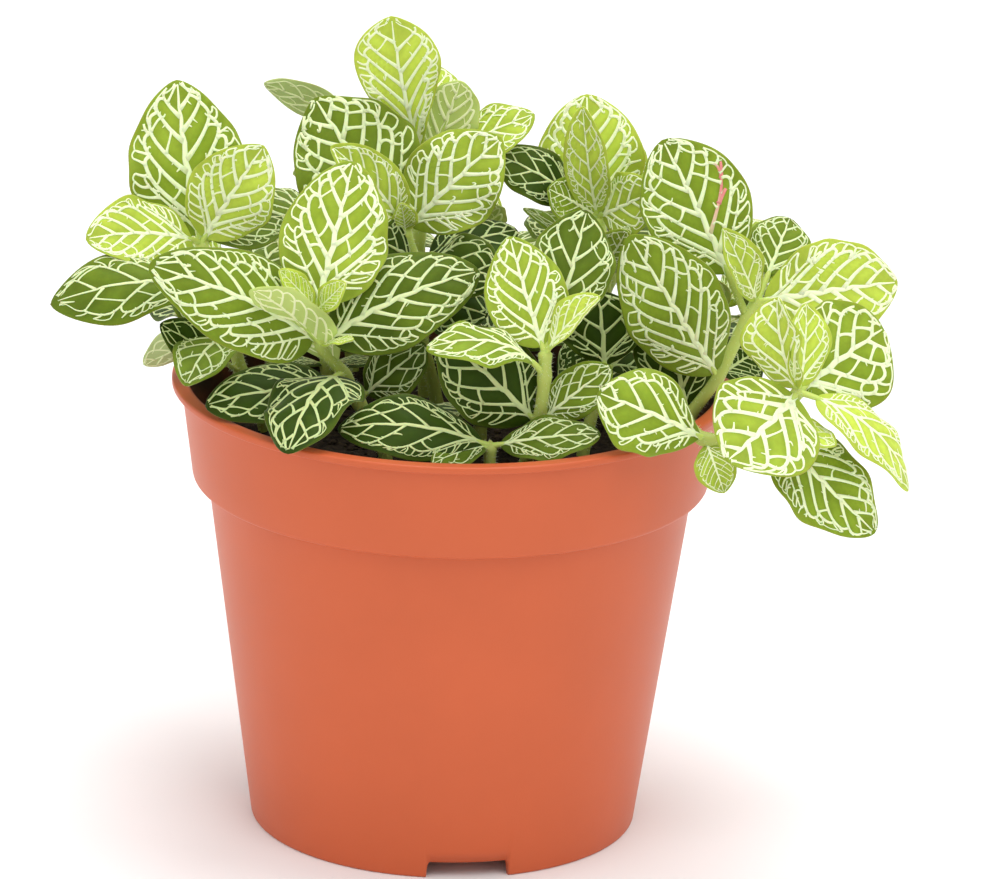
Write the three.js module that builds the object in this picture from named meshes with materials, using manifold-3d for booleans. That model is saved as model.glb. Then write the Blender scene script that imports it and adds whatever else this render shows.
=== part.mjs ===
// A nerve plant in a plastic nursery pot: pot, soil and leafy stems.
// Millimetres, +Z up. The origin is on the ground, under the middle of the whole plant.
import * as THREE from "three";
import { mergeVertices } from "three/addons/utils/BufferGeometryUtils.js";
import Module from "manifold-3d";

const wasm = await Module();
wasm.setup();

// ---------- Driving dimensions ----------

// The plant leans to one side and outgrows its pot, so the pot's axis is off the middle.
const POT_AXIS = [-5.6, -7.8];

const GAP = 0.3; // free space left between two pieces that touch

const POT = {
  height: 98.5,
  lipRadius: 60, // overhanging flange at the mouth
  lipThickness: 1.6,
  bandTopRadius: 58, // the upright band under the lip
  bandFootRadius: 55.2,
  bandFoot: 76.7, // height at which the band steps in to the body
  bodyTopRadius: 52,
  footRadius: 41.4,
  wall: 1.4,
  floorUnderside: 4, // the base plate stands this far off the ground
  sides: 40,
};

const NOTCH = { count: 3, width: 18, height: 3.7, firstAngle: -82 };
const DRAIN = { count: 8, radius: 3.2, ring: 27, sides: 8 };

const SOIL_TOP = 86;
const SOIL_CROWN = 1.5; // the soil is this much higher in the middle
const SURFACE = SOIL_TOP + 2; // where a stem is clear of the soil

const STEM = { radius: 1.4, sides: 5, stepsPerSpan: 2, rootDepth: 9 };
const HOLE = { clearance: 0.6, sides: 6 };

const LEAF = {
  thickness: 0.7,
  stalkHalfWidth: 0.9,
  // Places along the blade, from its foot to its tip, where the outline has a point.
  wideStations: [0.09, 0.34, 0.64, 0.88],
  narrowStations: [0.11, 0.46, 0.83],
  wide: 18, // a leaf at least this wide has the longer list
};

// ---------- Where the leaves are ----------

// Every stem is a list of points, from the soil to its head, about the pot's axis. A leaf is
// [stem point, tip, way its upper side faces, width, bow, cup, stalk, belly, age].
// Bow lifts the middle of the leaf by a share of its length, and cup lifts its edges by a
// share of its half width. Stalk is the bare share of its length, and belly is where along
// the blade it is widest. Age runs from 0, young and bright, to 1, old and dark.
const STEMS = [
  {
    name: "stem_left",
    points: [[-40, -4, SURFACE], [-45, -8, 101], [-47, -8, 109], [-54, -6, 129]],
    leaves: [
      [3, [-60, 4, 162], [0.05, -0.93, 0.36], 25.5, 0.04, 0.1, 0.05, 0.42, 0.35],
      [3, [-41, -13, 153], [0.08, -0.95, 0.3], 19, 0.04, 0.12, 0.06, 0.5, 0.1],
      [3, [-78, -18, 133], [-0.1, -0.72, 0.68], 17, 0.12, 0.1, 0.1, 0.5, 0.05],
      [3, [-37, 8, 131], [0, -0.45, 0.9], 15, 0.08, -0.1, 0.1, 0.5, 0.8],
      [2, [-59, 2, 118], [0, -0.45, 0.9], 13, 0.05, -0.1, 0.1, 0.5, 0.9],
      [2, [-85, -26, 121], [-0.1, -0.66, 0.74], 17, 0.34, -0.15, 0.1, 0.74, 0.7],
      [1, [-62, -22, 116], [0, -0.9, 0.45], 10, 0.08, -0.1, 0.3, 0.5, 0.95],
      [2, [-66, -4, 101], [0, 0.85, 0.52], 11, 0.08, 0.1, 0.1, 0.5, 0.55],
      [2, [-56, -36, 107], [-0.2, -0.85, 0.5], 13, 0.1, 0.1, 0.1, 0.5, 0.6],
    ],
  },
  {
    name: "stem_front_left",
    points: [[-14, -22, SURFACE], [-20, -22, 100], [-23, -23, 106], [-28, -27, 114], [-29, -29, 122]],
    leaves: [
      [4, [-22, -16, 151], [0, -0.93, 0.37], 23, 0.03, 0.1, 0.05, 0.42, 0.25],
      [4, [-37, -33, 132], [0.4, -0.8, 0.4], 6, 0.02, 0.3, 0.1, 0.5, 0],
      [4, [-23, -34, 130], [-0.4, -0.8, 0.4], 6, 0.02, 0.3, 0.1, 0.5, 0],
      [3, [-64, -38, 134], [-0.1, -0.75, 0.66], 22, 0.15, -0.12, 0.06, 0.42, 0.6],
      [3, [5, -24, 130], [0.1, -0.8, 0.6], 21, 0.13, -0.12, 0.06, 0.45, 0.8],
      [2, [-42, -46, 132], [-0.2, 0.6, 0.77], 12, 0.06, 0.15, 0.1, 0.5, 0],
      [1, [-52, -31, 101], [-0.1, -0.6, 0.8], 17, 0.15, -0.1, 0.1, 0.5, 1],
      [1, [-6, -28, 115], [0.1, -0.85, 0.5], 12, 0.06, 0.05, 0.15, 0.5, 0.85],
      [2, [-34, -55, 99], [-0.2, -0.5, 0.85], 20.5, 0.14, -0.1, 0.12, 0.42, 1],
    ],
  },
  {
    name: "stem_top",
    points: [[-6, 20, SURFACE], [-8, 14, 127], [-7, 14, 140]],
    leaves: [
      [1, [2, 36, 138], [0.1, -0.5, 0.85], 16, 0.1, -0.1, 0.1, 0.5, 0.7],
      [1, [-20, 10, 138], [-0.2, -0.3, 0.9], 12, 0.1, -0.1, 0.2, 0.5, 0.7],
      [2, [-6, 34, 158], [0, -0.5, 0.85], 14, 0.1, 0.1, 0.1, 0.5, 0.2],
      [2, [-15, 8, 176], [-0.1, -0.9, 0.42], 18.5, 0.03, 0.12, 0.06, 0.72, 0],
      [2, [0, 9, 162], [0.1, 0.93, 0.3], 14, 0.04, 0.1, 0.1, 0.5, 0],
      [2, [16, 12, 154], [0.2, -0.55, 0.8], 13.5, 0.1, -0.1, 0.1, 0.55, 0.2],
    ],
  },
  {
    name: "stem_centre",
    points: [[-3, 8, SURFACE], [-9, -1, 116], [-9, -2, 125], [-11, -4, 132]],
    leaves: [
      [3, [-31, 10, 157], [0.05, -0.93, 0.36], 28, 0.03, 0.08, 0.08, 0.45, 0.62],
      [3, [-27, -12, 153], [0.3, -0.85, 0.4], 12, 0.1, 0.4, 0.1, 0.5, 0.15],
      [3, [9, -6, 154], [0.05, -0.95, 0.3], 21, 0.03, 0.1, 0.06, 0.5, 0.3],
      [3, [-12, -9, 140], [0, -0.9, 0.4], 6, 0.03, 0.3, 0.1, 0.5, 0],
      [2, [-17, -14, 133], [-0.1, -0.85, 0.5], 14, 0.06, -0.1, 0.1, 0.5, 0.95],
      [2, [9, -14, 125], [0.1, -0.8, 0.6], 16, 0.08, -0.1, 0.15, 0.5, 0.95],
      [2, [13, 6, 130], [0.1, -0.6, 0.8], 14, 0.08, -0.1, 0.15, 0.5, 0.95],
      [1, [-27, 0, 115], [-0.1, -0.7, 0.7], 16, 0.08, -0.1, 0.12, 0.5, 1],
      [1, [7, -8, 115], [0.1, -0.7, 0.7], 15, 0.08, -0.1, 0.12, 0.5, 1],
    ],
  },
  {
    name: "stem_back",
    points: [[-16, 36, SURFACE], [-18, 30, 131], [-23, 26, 146]],
    leaves: [
      [1, [-33, 40, 130], [-0.3, 0.3, 0.9], 16, 0.1, -0.1, 0.1, 0.5, 0.7],
      [1, [6, 44, 130], [0.3, 0.3, 0.9], 16, 0.1, -0.1, 0.1, 0.5, 0.7],
      [2, [-24, 50, 144], [0, -0.3, 0.95], 15, 0.1, 0.1, 0.1, 0.5, 0.2],
      [2, [-42, 24, 156], [-0.2, 0.8, 0.55], 9.5, 0.06, 0.1, 0.05, 0.5, 0.4],
      [2, [-18, 34, 147], [-0.2, -0.5, 0.85], 10, 0.06, 0.1, 0.1, 0.5, 0.4],
    ],
  },
  {
    name: "stem_back_right",
    points: [[30, 20, SURFACE], [32, 10, 122], [30, 10, 132]],
    leaves: [
      [1, [44, 34, 124], [0.3, 0.3, 0.9], 17, 0.1, -0.1, 0.1, 0.5, 0.8],
      [1, [16, 30, 126], [-0.3, 0.3, 0.9], 15, 0.1, -0.1, 0.1, 0.5, 0.8],
      [2, [36, 34, 142], [0.1, -0.4, 0.9], 14, 0.1, 0.1, 0.1, 0.5, 0.3],
      [2, [27, 18, 157], [0, -0.93, 0.37], 23, 0.03, 0.1, 0.05, 0.45, 0.12],
      [2, [26, 2, 159], [-0.2, -0.9, 0.36], 10, 0.04, 0.45, 0.05, 0.5, 0.05],
      [2, [42, -2, 142], [0.1, -0.85, 0.5], 14, 0.05, 0.05, 0.1, 0.5, 0.2],
      [2, [19, 4, 140], [-0.1, -0.85, 0.5], 11, 0.06, 0.05, 0.1, 0.5, 0.4],
      [1, [14, 12, 133], [0, -0.12, 0.99], 8, 0.04, 0.05, 0.1, 0.5, 0.5],
      [2, [8, 8, 146], [0, -0.72, 0.7], 12.5, 0.08, -0.1, 0.2, 0.55, 0.9],
      [1, [36, -2, 133], [0.1, -0.9, 0.4], 9, 0.04, 0.05, 0.1, 0.5, 0.3],
    ],
  },
  {
    name: "stem_front",
    points: [[15, -34, SURFACE], [18, -37, 101], [19, -39, 112], [19, -39, 117]],
    leaves: [
      [3, [11, -31, 140], [-0.05, -0.93, 0.37], 17.5, 0.03, 0.1, 0.06, 0.45, 0.25],
      [3, [30, -46, 132], [-0.4, -0.5, 0.77], 10, 0.04, 0.4, 0.1, 0.5, 0.05],
      [3, [27, -24, 144], [0.1, -0.93, 0.35], 18, 0.04, -0.05, 0.15, 0.55, 0.78],
      [2, [-6, -47, 120], [0, -0.4, 0.92], 14, 0.22, -0.1, 0.15, 0.6, 0.45],
      [1, [-3, -40, 121], [-0.1, -0.9, 0.42], 20, 0.04, -0.08, 0.06, 0.45, 1],
      [1, [33, -34, 113], [0.1, -0.75, 0.66], 11, 0.05, -0.05, 0.1, 0.5, 0.6],
    ],
  },
  {
    name: "stem_right_front",
    points: [[40, -30, SURFACE], [47, -36, 103], [53, -42, 100], [66, -43, 104], [72, -42, 111]],
    leaves: [
      [2, [30, -46, 111], [-0.1, -0.8, 0.6], 19, 0.12, -0.1, 0.06, 0.58, 0.45],
      [2, [57, -50, 91], [0, -0.95, 0.3], 9, 0.05, 0.1, 0.1, 0.5, 0.15],
      [4, [57, -59, 101], [-0.1, -0.95, 0.3], 25.5, 0.05, 0.1, 0.06, 0.5, 0.25],
      [4, [96, -40, 89], [0.2, -0.5, 0.85], 12.5, 0.2, -0.15, 0.1, 0.42, 0.05],
      [3, [89, -47, 82], [0.3, -0.85, 0.43], 18.5, 0.02, 0, 0.1, 0.42, 0.45],
      [4, [67, -40, 131], [-0.75, -0.6, 0.25], 17, 0.06, 0.35, 0.04, 0.5, 0.1],
      [4, [90, -28, 121], [0.15, -0.95, 0.28], 25, 0.04, 0.08, 0.06, 0.5, 0.42],
      [3, [80, -50, 102], [0.1, -0.3, 0.9], 8, 0.05, 0.1, 0.1, 0.5, 0],
      [4, [73, -35, 129], [0.5, -0.7, 0.5], 11, 0.04, 0.3, 0.05, 0.5, 0.05],
    ],
  },
  {
    name: "stem_right",
    points: [[47, -11, SURFACE], [50, -13, 95], [56, -12, 104], [62, -8, 116], [64, -6, 119]],
    leaves: [
      [3, [74, 16, 112], [0.4, 0.3, 0.9], 16, 0.12, -0.1, 0.1, 0.5, 0.8],
      [4, [62, 18, 130], [0, -0.4, 0.9], 14, 0.1, 0.1, 0.1, 0.5, 0.3],
      [2, [36, -22, 138], [-0.1, -0.86, 0.51], 22, 0.07, -0.08, 0.03, 0.5, 0.5],
      [3, [43, 2, 152], [0.1, -0.9, 0.42], 23.5, 0.05, 0.05, 0.25, 0.5, 0.48],
      [4, [56, -15, 138], [0.4, -0.8, 0.4], 9, 0.04, 0.45, 0.05, 0.5, 0.1],
      [4, [71, 10, 133], [0.1, -0.85, 0.5], 14, 0.06, 0, 0.3, 0.5, 0.6],
      [4, [94, -2, 123], [0.1, -0.9, 0.44], 22, 0.12, 0.05, 0.05, 0.5, 0.1],
      [1, [43, -10, 120], [-0.1, -0.88, 0.45], 17, 0.04, -0.05, 0.1, 0.5, 1],
      [2, [65, -2, 107], [0.1, -0.8, 0.6], 12, 0.04, -0.05, 0.1, 0.5, 1],
    ],
  },
  {
    name: "stem_mid_right",
    points: [[28, -16, SURFACE], [32, -14, 105]],
    leaves: [
      [1, [30, -10, 122], [0, -0.9, 0.4], 18, 0.04, -0.05, 0.1, 0.5, 1],
      [1, [42, 4, 108], [0.2, -0.85, 0.5], 14, 0.05, -0.05, 0.1, 0.5, 1],
      [1, [24, -6, 110], [-0.2, -0.85, 0.5], 16, 0.05, -0.05, 0.1, 0.5, 1],
    ],
  },
  {
    name: "stem_front_low",
    points: [[8, -44, SURFACE], [8, -44, 98]],
    leaves: [
      [1, [-24, -44, 101], [0, -0.66, 0.75], 15, 0.17, -0.12, 0.05, 0.5, 1],
      [1, [-4, -54, 97], [0, -0.3, 0.95], 8, 0.05, 0, 0.1, 0.5, 0.8],
      [1, [31, -46, 102], [0.1, -0.55, 0.83], 12, 0.06, -0.05, 0.1, 0.5, 0.8],
    ],
  },
];

// Bushy stems on the far side: crossed pairs of leaves, the lower ones long and level, the
// upper ones short and steep. Turn is the compass direction of the lowest pair, in degrees.
const BUSHY_STEMS = [
  { name: "stem_far_left", root: [-37, 24], head: [-50, 32, 108], turn: 150, reach: 27 },
  { name: "stem_far_back_left", root: [-22, 40], head: [-28, 54, 117], turn: 60, reach: 29 },
  { name: "stem_far_back", root: [4, 44], head: [5, 57, 110], turn: 98, reach: 26 },
  { name: "stem_far_back_right", root: [28, 36], head: [36, 46, 113], turn: 162, reach: 27 },
  { name: "stem_far_right", root: [44, 14], head: [58, 22, 107], turn: 45, reach: 27 },
  { name: "stem_inner", root: [12, 12], head: [12, 16, 110], turn: 27, reach: 18 },
  { name: "stem_inner_left", root: [-26, 2], head: [-28, 1, 110], turn: 10, reach: 12 },
  { name: "stem_inner_front", root: [6, -18], head: [6, -20, 104], turn: 10, reach: 17 },
];
// Each pair: place along the stem, share of the reach, climb in degrees, age.
const BUSHY_PAIRS = [
  [0.58, 1, 0, 0.95],
  [0.82, 0.92, 22, 0.7],
  [1, 0.65, 52, 0.2],
];
const BUSHY_WIDTH = 0.62; // of a leaf's length
const BUSHY_BOW = 0.1;
const BUSHY_CUP = -0.08;
const BUSHY_STALK = 0.1;
const BUSHY_BELLY = 0.46;

// ---------- Solids ----------

// A closed geometry as a solid: only positions are kept, and shared corners are merged.
function solidFrom(geometry) {
  const bare = new THREE.BufferGeometry();
  bare.setAttribute("position", geometry.getAttribute("position").clone());
  bare.setIndex(geometry.getIndex());
  const merged = mergeVertices(bare, 1e-4);
  const mesh = new wasm.Mesh({
    numProp: 3,
    vertProperties: new Float32Array(merged.attributes.position.array),
    triVerts: new Uint32Array(merged.index.array),
  });
  return new wasm.Manifold(mesh);
}

function geometryFrom(solid) {
  const mesh = solid.getMesh();
  const geometry = new THREE.BufferGeometry();
  geometry.setAttribute("position", new THREE.BufferAttribute(mesh.vertProperties, 3));
  geometry.setIndex(new THREE.BufferAttribute(mesh.triVerts, 1));
  const flat = geometry.toNonIndexed();
  flat.computeVertexNormals();
  return flat;
}

// A profile of [radius, height] points, from the axis and back to it, turned about +Z.
function turned(profile, sides) {
  const points = profile.map(([radius, height]) => new THREE.Vector2(radius, height));
  return new THREE.LatheGeometry(points, sides).rotateX(Math.PI / 2);
}

function uprightCylinder(radius, low, high, sides, x, y) {
  const geometry = new THREE.CylinderGeometry(radius, radius, high - low, sides);
  return geometry.rotateX(Math.PI / 2).translate(x, y, (low + high) / 2);
}

// ---------- The pot ----------

// The outside runs up from the foot, steps out to the band and ends in the lip, and the
// inside follows it one wall further in, down to the base plate.
function potProfile() {
  const { height, lipRadius, lipThickness, bandTopRadius, bandFootRadius, bandFoot } = POT;
  const { bodyTopRadius, footRadius, wall, floorUnderside } = POT;
  const lipFoot = height - lipThickness;
  const floorTop = floorUnderside + wall;
  return [
    [0, floorUnderside],
    [footRadius - wall - 0.3, floorUnderside],
    [footRadius - wall - 0.3, 0.4],
    [footRadius - wall, 0],
    [footRadius - 0.5, 0],
    [footRadius, 0.7],
    [bodyTopRadius, bandFoot - 0.4],
    [bandFootRadius - 0.5, bandFoot],
    [bandFootRadius, bandFoot + 0.5],
    [bandTopRadius, lipFoot],
    [lipRadius - 0.3, lipFoot],
    [lipRadius, lipFoot + 0.4],
    [lipRadius, height - 0.4],
    [lipRadius - 0.4, height],
    [bandTopRadius - wall + 0.3, height],
    [bandTopRadius - wall, height - 0.4],
    [bandFootRadius - wall, bandFoot + 1.4],
    [bodyTopRadius - wall, bandFoot - 1],
    [footRadius - wall + 0.3, floorTop + 1.2],
    [footRadius - wall - 0.8, floorTop],
    [0, floorTop],
  ];
}

function potSolid() {
  let pot = solidFrom(turned(potProfile(), POT.sides));
  for (let i = 0; i < NOTCH.count; i += 1) {
    const angle = THREE.MathUtils.degToRad(NOTCH.firstAngle + (360 / NOTCH.count) * i);
    const notch = new THREE.BoxGeometry(8, NOTCH.width, 2 * NOTCH.height);
    notch.translate(POT.footRadius, 0, 0).rotateZ(angle);
    pot = pot.subtract(solidFrom(notch));
  }
  for (let i = 0; i < DRAIN.count; i += 1) {
    const angle = (2 * Math.PI * i) / DRAIN.count;
    const [x, y] = [DRAIN.ring * Math.cos(angle), DRAIN.ring * Math.sin(angle)];
    const bottom = POT.floorUnderside - 1;
    const hole = uprightCylinder(DRAIN.radius, bottom, bottom + 4, DRAIN.sides, x, y);
    pot = pot.subtract(solidFrom(hole));
  }
  return pot;
}

// ---------- The soil ----------

function soilSolid(stems) {
  const { bandFootRadius, bandFoot, bodyTopRadius, footRadius, wall, floorUnderside } = POT;
  const floor = floorUnderside + wall + GAP;
  const topRadius = bandFootRadius - wall + 0.8;
  let soil = solidFrom(
    turned(
      [
        [0, floor],
        [footRadius - wall - 1.4, floor],
        [footRadius - wall - 0.1, floor + 1.3],
        [bodyTopRadius - wall - 0.4, bandFoot - 0.8],
        [bandFootRadius - wall - 0.4, bandFoot + 1.7],
        [topRadius, SOIL_TOP - 0.8],
        [topRadius - 4, SOIL_TOP],
        [topRadius / 2, SOIL_TOP + SOIL_CROWN * 0.75],
        [0, SOIL_TOP + SOIL_CROWN],
      ],
      POT.sides,
    ),
  );
  for (const stem of stems) {
    const [x, y] = stem.points[0];
    const radius = STEM.radius + HOLE.clearance;
    const bottom = SOIL_TOP - STEM.rootDepth - GAP;
    const hole = uprightCylinder(radius, bottom, SOIL_TOP + 5, HOLE.sides, x, y);
    soil = soil.subtract(solidFrom(hole));
  }
  return soil;
}

// ---------- Leafy stems ----------

// The half width at share q of the blade, of the greatest half width: a sine arch whose
// crest is moved to the belly, made plumper at both ends.
function outline(q, belly) {
  const skew = Math.log(0.5) / Math.log(belly);
  return Math.sin(Math.PI * q ** skew) ** 0.62;
}

// A leaf is a bowed and cupped sheet. Its midrib is a parabola from the stem to the tip,
// and each station across it has a left edge, the midrib and a right edge. The lower face
// is the upper one moved down by the thickness, and both are split into the same triangles.
function leafGeometry(foot, leaf) {
  const [, tipPoint, face, width, bow, cup, stalk, belly] = leaf;
  const start = new THREE.Vector3(...foot);
  const axis = new THREE.Vector3(...tipPoint).sub(start);
  const length = axis.length();
  const along = axis.clone().normalize();
  const up = new THREE.Vector3(...face);
  up.addScaledVector(along, -up.dot(along)).normalize();
  const side = new THREE.Vector3().crossVectors(along, up);
  const { stalkHalfWidth, thickness } = LEAF;
  const stations = width < LEAF.wide ? LEAF.narrowStations : LEAF.wideStations;
  const shares = [0, stalk, ...stations.map((q) => stalk + (1 - stalk) * q)];

  const upper = [];
  const lower = [];
  const addPoint = (u, across, lift) => {
    const tangent = axis.clone().addScaledVector(up, 4 * bow * length * (1 - 2 * u));
    const normal = new THREE.Vector3().crossVectors(side, tangent).normalize();
    const point = start.clone().addScaledVector(axis, u);
    point.addScaledVector(up, 4 * bow * length * u * (1 - u));
    point.addScaledVector(side, across).addScaledVector(normal, lift);
    upper.push(point.clone().addScaledVector(normal, thickness / 2));
    lower.push(point.addScaledVector(normal, -thickness / 2));
  };
  shares.forEach((u, i) => {
    const onStalk = i < 2;
    const blade = onStalk ? 0 : (width / 2) * outline((u - stalk) / (1 - stalk), belly);
    const half = Math.max(stalkHalfWidth, blade);
    const lift = cup * blade;
    addPoint(u, -half, lift);
    addPoint(u, 0, 0);
    addPoint(u, half, lift);
  });
  addPoint(1, 0, 0);

  const rows = shares.length;
  const tip = 3 * rows;
  const faces = [];
  for (let row = 0; row + 1 < rows; row += 1) {
    for (let column = 0; column < 2; column += 1) {
      const a = 3 * row + column;
      faces.push([a, a + 1, a + 4], [a, a + 4, a + 3]);
    }
  }
  const last = 3 * (rows - 1);
  faces.push([last, last + 1, tip], [last + 1, last + 2, tip]);

  const rim = [0, 1, 2];
  for (let row = 1; row < rows; row += 1) rim.push(3 * row + 2);
  rim.push(tip);
  for (let row = rows - 1; row > 0; row -= 1) rim.push(3 * row);

  const count = upper.length;
  const index = [];
  for (const [a, b, c] of faces) {
    index.push(a, b, c);
    index.push(count + a, count + c, count + b);
  }
  rim.forEach((a, i) => {
    const b = rim[(i + 1) % rim.length];
    index.push(a, count + b, b);
    index.push(a, count + a, count + b);
  });
  const geometry = new THREE.BufferGeometry();
  geometry.setFromPoints([...upper, ...lower]);
  geometry.setIndex(index);
  return geometry;
}

// The stem is a straight root in the soil and then a smooth curve through its points.
function stemGeometry(points) {
  const [x, y] = points[0];
  const root = new THREE.Vector3(x, y, SOIL_TOP - STEM.rootDepth);
  const above = points.map((point) => new THREE.Vector3(...point));
  const path = new THREE.CatmullRomCurve3([root, ...above]);
  const section = new THREE.Shape();
  for (let i = 0; i < STEM.sides; i += 1) {
    const angle = (2 * Math.PI * i) / STEM.sides;
    const [across, over] = [STEM.radius * Math.cos(angle), STEM.radius * Math.sin(angle)];
    if (i === 0) section.moveTo(across, over);
    else section.lineTo(across, over);
  }
  section.closePath();
  const steps = STEM.stepsPerSpan * (points.length + 1);
  return new THREE.ExtrudeGeometry(section, { extrudePath: path, steps, curveSegments: 1 });
}

function stemSolid(stem) {
  let solid = solidFrom(stemGeometry(stem.points));
  for (const leaf of stem.leaves) {
    solid = solid.add(solidFrom(leafGeometry(stem.points[leaf[0]], leaf)));
  }
  return solid;
}

// The points and leaves of a bushy stem, worked out from its row.
function bushyStem({ name, root, head, turn, reach }) {
  const points = [[...root, SURFACE]];
  const leaves = [];
  BUSHY_PAIRS.forEach(([place, share, climb, age], pair) => {
    const lean = place ** 1.5;
    const point = [
      root[0] + (head[0] - root[0]) * lean,
      root[1] + (head[1] - root[1]) * lean,
      SOIL_TOP + (head[2] - SOIL_TOP) * place,
    ];
    points.push(point);
    for (const half of [0, 180]) {
      const compass = THREE.MathUtils.degToRad(turn + 90 * pair + half);
      const rise = THREE.MathUtils.degToRad(climb);
      const length = reach * share;
      const [east, north] = [Math.cos(compass), Math.sin(compass)];
      const tip = [
        point[0] + length * Math.cos(rise) * east,
        point[1] + length * Math.cos(rise) * north,
        point[2] + length * Math.sin(rise),
      ];
      const face = [-Math.sin(rise) * east, -Math.sin(rise) * north, Math.cos(rise)];
      const shape = [length * BUSHY_WIDTH, BUSHY_BOW, BUSHY_CUP, BUSHY_STALK, BUSHY_BELLY];
      leaves.push([pair + 1, tip, face, ...shape, age]);
    }
  });
  return { name, points, leaves };
}

// ---------- The plant ----------

const MATERIALS = {
  terracotta: new THREE.MeshStandardMaterial({ color: 0xc9663f, roughness: 0.5, metalness: 0 }),
  peat: new THREE.MeshStandardMaterial({ color: 0x1d1712, roughness: 1, metalness: 0 }),
  leaf: new THREE.MeshStandardMaterial({ color: 0x6f9a2c, roughness: 0.55, metalness: 0 }),
};

function namedMesh(name, solid, material) {
  const mesh = new THREE.Mesh(geometryFrom(solid), material);
  mesh.name = name;
  return mesh;
}

const stems = [...STEMS, ...BUSHY_STEMS.map(bushyStem)];

const plant = new THREE.Group();
plant.position.set(POT_AXIS[0], POT_AXIS[1], 0);
plant.add(namedMesh("pot", potSolid(), MATERIALS.terracotta));
plant.add(namedMesh("soil", soilSolid(stems), MATERIALS.peat));
for (const stem of stems) {
  plant.add(namedMesh(stem.name, stemSolid(stem), MATERIALS.leaf));
}

export default plant;
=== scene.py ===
"""The finish of a nerve plant in a round plastic nursery pot.

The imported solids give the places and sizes. Every piece here is a finer surface that keeps the
form of the solid it replaces: the pot is a turned profile, the soil a rough bed with crumbs, and
each leaf a thin bowed sheet with a net of raised veins along curves of its own.
Lengths inside the functions are millimetres about the pot's axis, as they are in the solids'
source, and become metres in the row frame when a mesh is made.
"""
import math

import bpy
import numpy as np
from mathutils import Matrix, Vector


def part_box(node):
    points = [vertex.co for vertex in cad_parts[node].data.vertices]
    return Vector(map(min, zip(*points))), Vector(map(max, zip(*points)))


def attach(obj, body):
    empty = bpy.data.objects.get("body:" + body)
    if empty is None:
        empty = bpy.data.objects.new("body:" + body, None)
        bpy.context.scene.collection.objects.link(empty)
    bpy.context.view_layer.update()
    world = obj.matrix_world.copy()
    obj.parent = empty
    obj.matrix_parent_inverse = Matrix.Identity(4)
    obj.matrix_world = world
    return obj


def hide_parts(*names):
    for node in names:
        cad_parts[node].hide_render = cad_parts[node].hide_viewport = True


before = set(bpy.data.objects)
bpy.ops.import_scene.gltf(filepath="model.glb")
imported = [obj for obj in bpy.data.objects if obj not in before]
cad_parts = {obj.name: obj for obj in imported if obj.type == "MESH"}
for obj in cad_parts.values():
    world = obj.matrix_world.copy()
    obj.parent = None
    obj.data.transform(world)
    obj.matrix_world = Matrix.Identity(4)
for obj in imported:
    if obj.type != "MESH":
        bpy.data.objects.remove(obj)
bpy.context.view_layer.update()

bl_info = {
    "name": "Potted nerve plant",
    "version": (1, 0, 0),
    "blender": (4, 5, 0),
    "location": "3D View > Sidebar > Nerve plant",
    "description": "Pot, soil and net-veined leaves made around the packed solids",
    "category": "Add Mesh",
}

# ---------- Where things are ----------

MM = 0.001
BODY = "root"
POT_LOW, POT_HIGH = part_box("pot")
POT_AXIS = np.array([(POT_LOW.x + POT_HIGH.x) / 2, (POT_LOW.y + POT_HIGH.y) / 2, 0.0])
POT_HEIGHT = POT_HIGH.z / MM
LIP_RADIUS = (POT_HIGH.x - POT_LOW.x) / 2 / MM

FOOT_RADIUS = 41.4
BODY_TOP_RADIUS = 52.0
BAND_FOOT = 76.7  # height at which the band steps in to the body
BAND_FOOT_RADIUS = 55.2
BAND_TOP_RADIUS = 58.0
PLATE = 4.0  # height of the base plate's underside
FOOT_RING = 3.0  # width of the ring on the floor that the notches are in
NOTCHES = 3
NOTCH_FIRST = -82.0  # compass turn of the first notch, in degrees
NOTCH_WIDTH = 18.0
NOTCH_HEIGHT = 3.7
NOTCH_SIDE = 0.9  # width over which a notch rises to its full height at each side
DRAIN_HOLES = 8
DRAIN_RADIUS = 3.2
DRAIN_RING = 27.0  # radius of the ring that the holes stand on

SOIL_TOP = 86.0  # height of the soil at the pot's wall
SOIL_CROWN = 1.5  # the soil is this much higher in the middle
SOIL_RADIUS = 54.6
SURFACE = SOIL_TOP + 2.0  # where a stem is clear of the soil
ROOT_DEPTH = 9.0  # how far a stem goes on in the soil

# Every stem: its name, its points from the soil to its head, and its leaves. A leaf is
# (stem point, tip, way its upper side faces, width, bow, cup, stalk, belly, age), where bow
# lifts its middle by a share of its length, cup lifts its edges by a share of its half width,
# stalk is the bare share of its length, belly is where along the blade it is widest, and age
# runs from 0, young and bright, to 1, old and dark. The places are those of the solids, apart
# from two that are marked.

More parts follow.
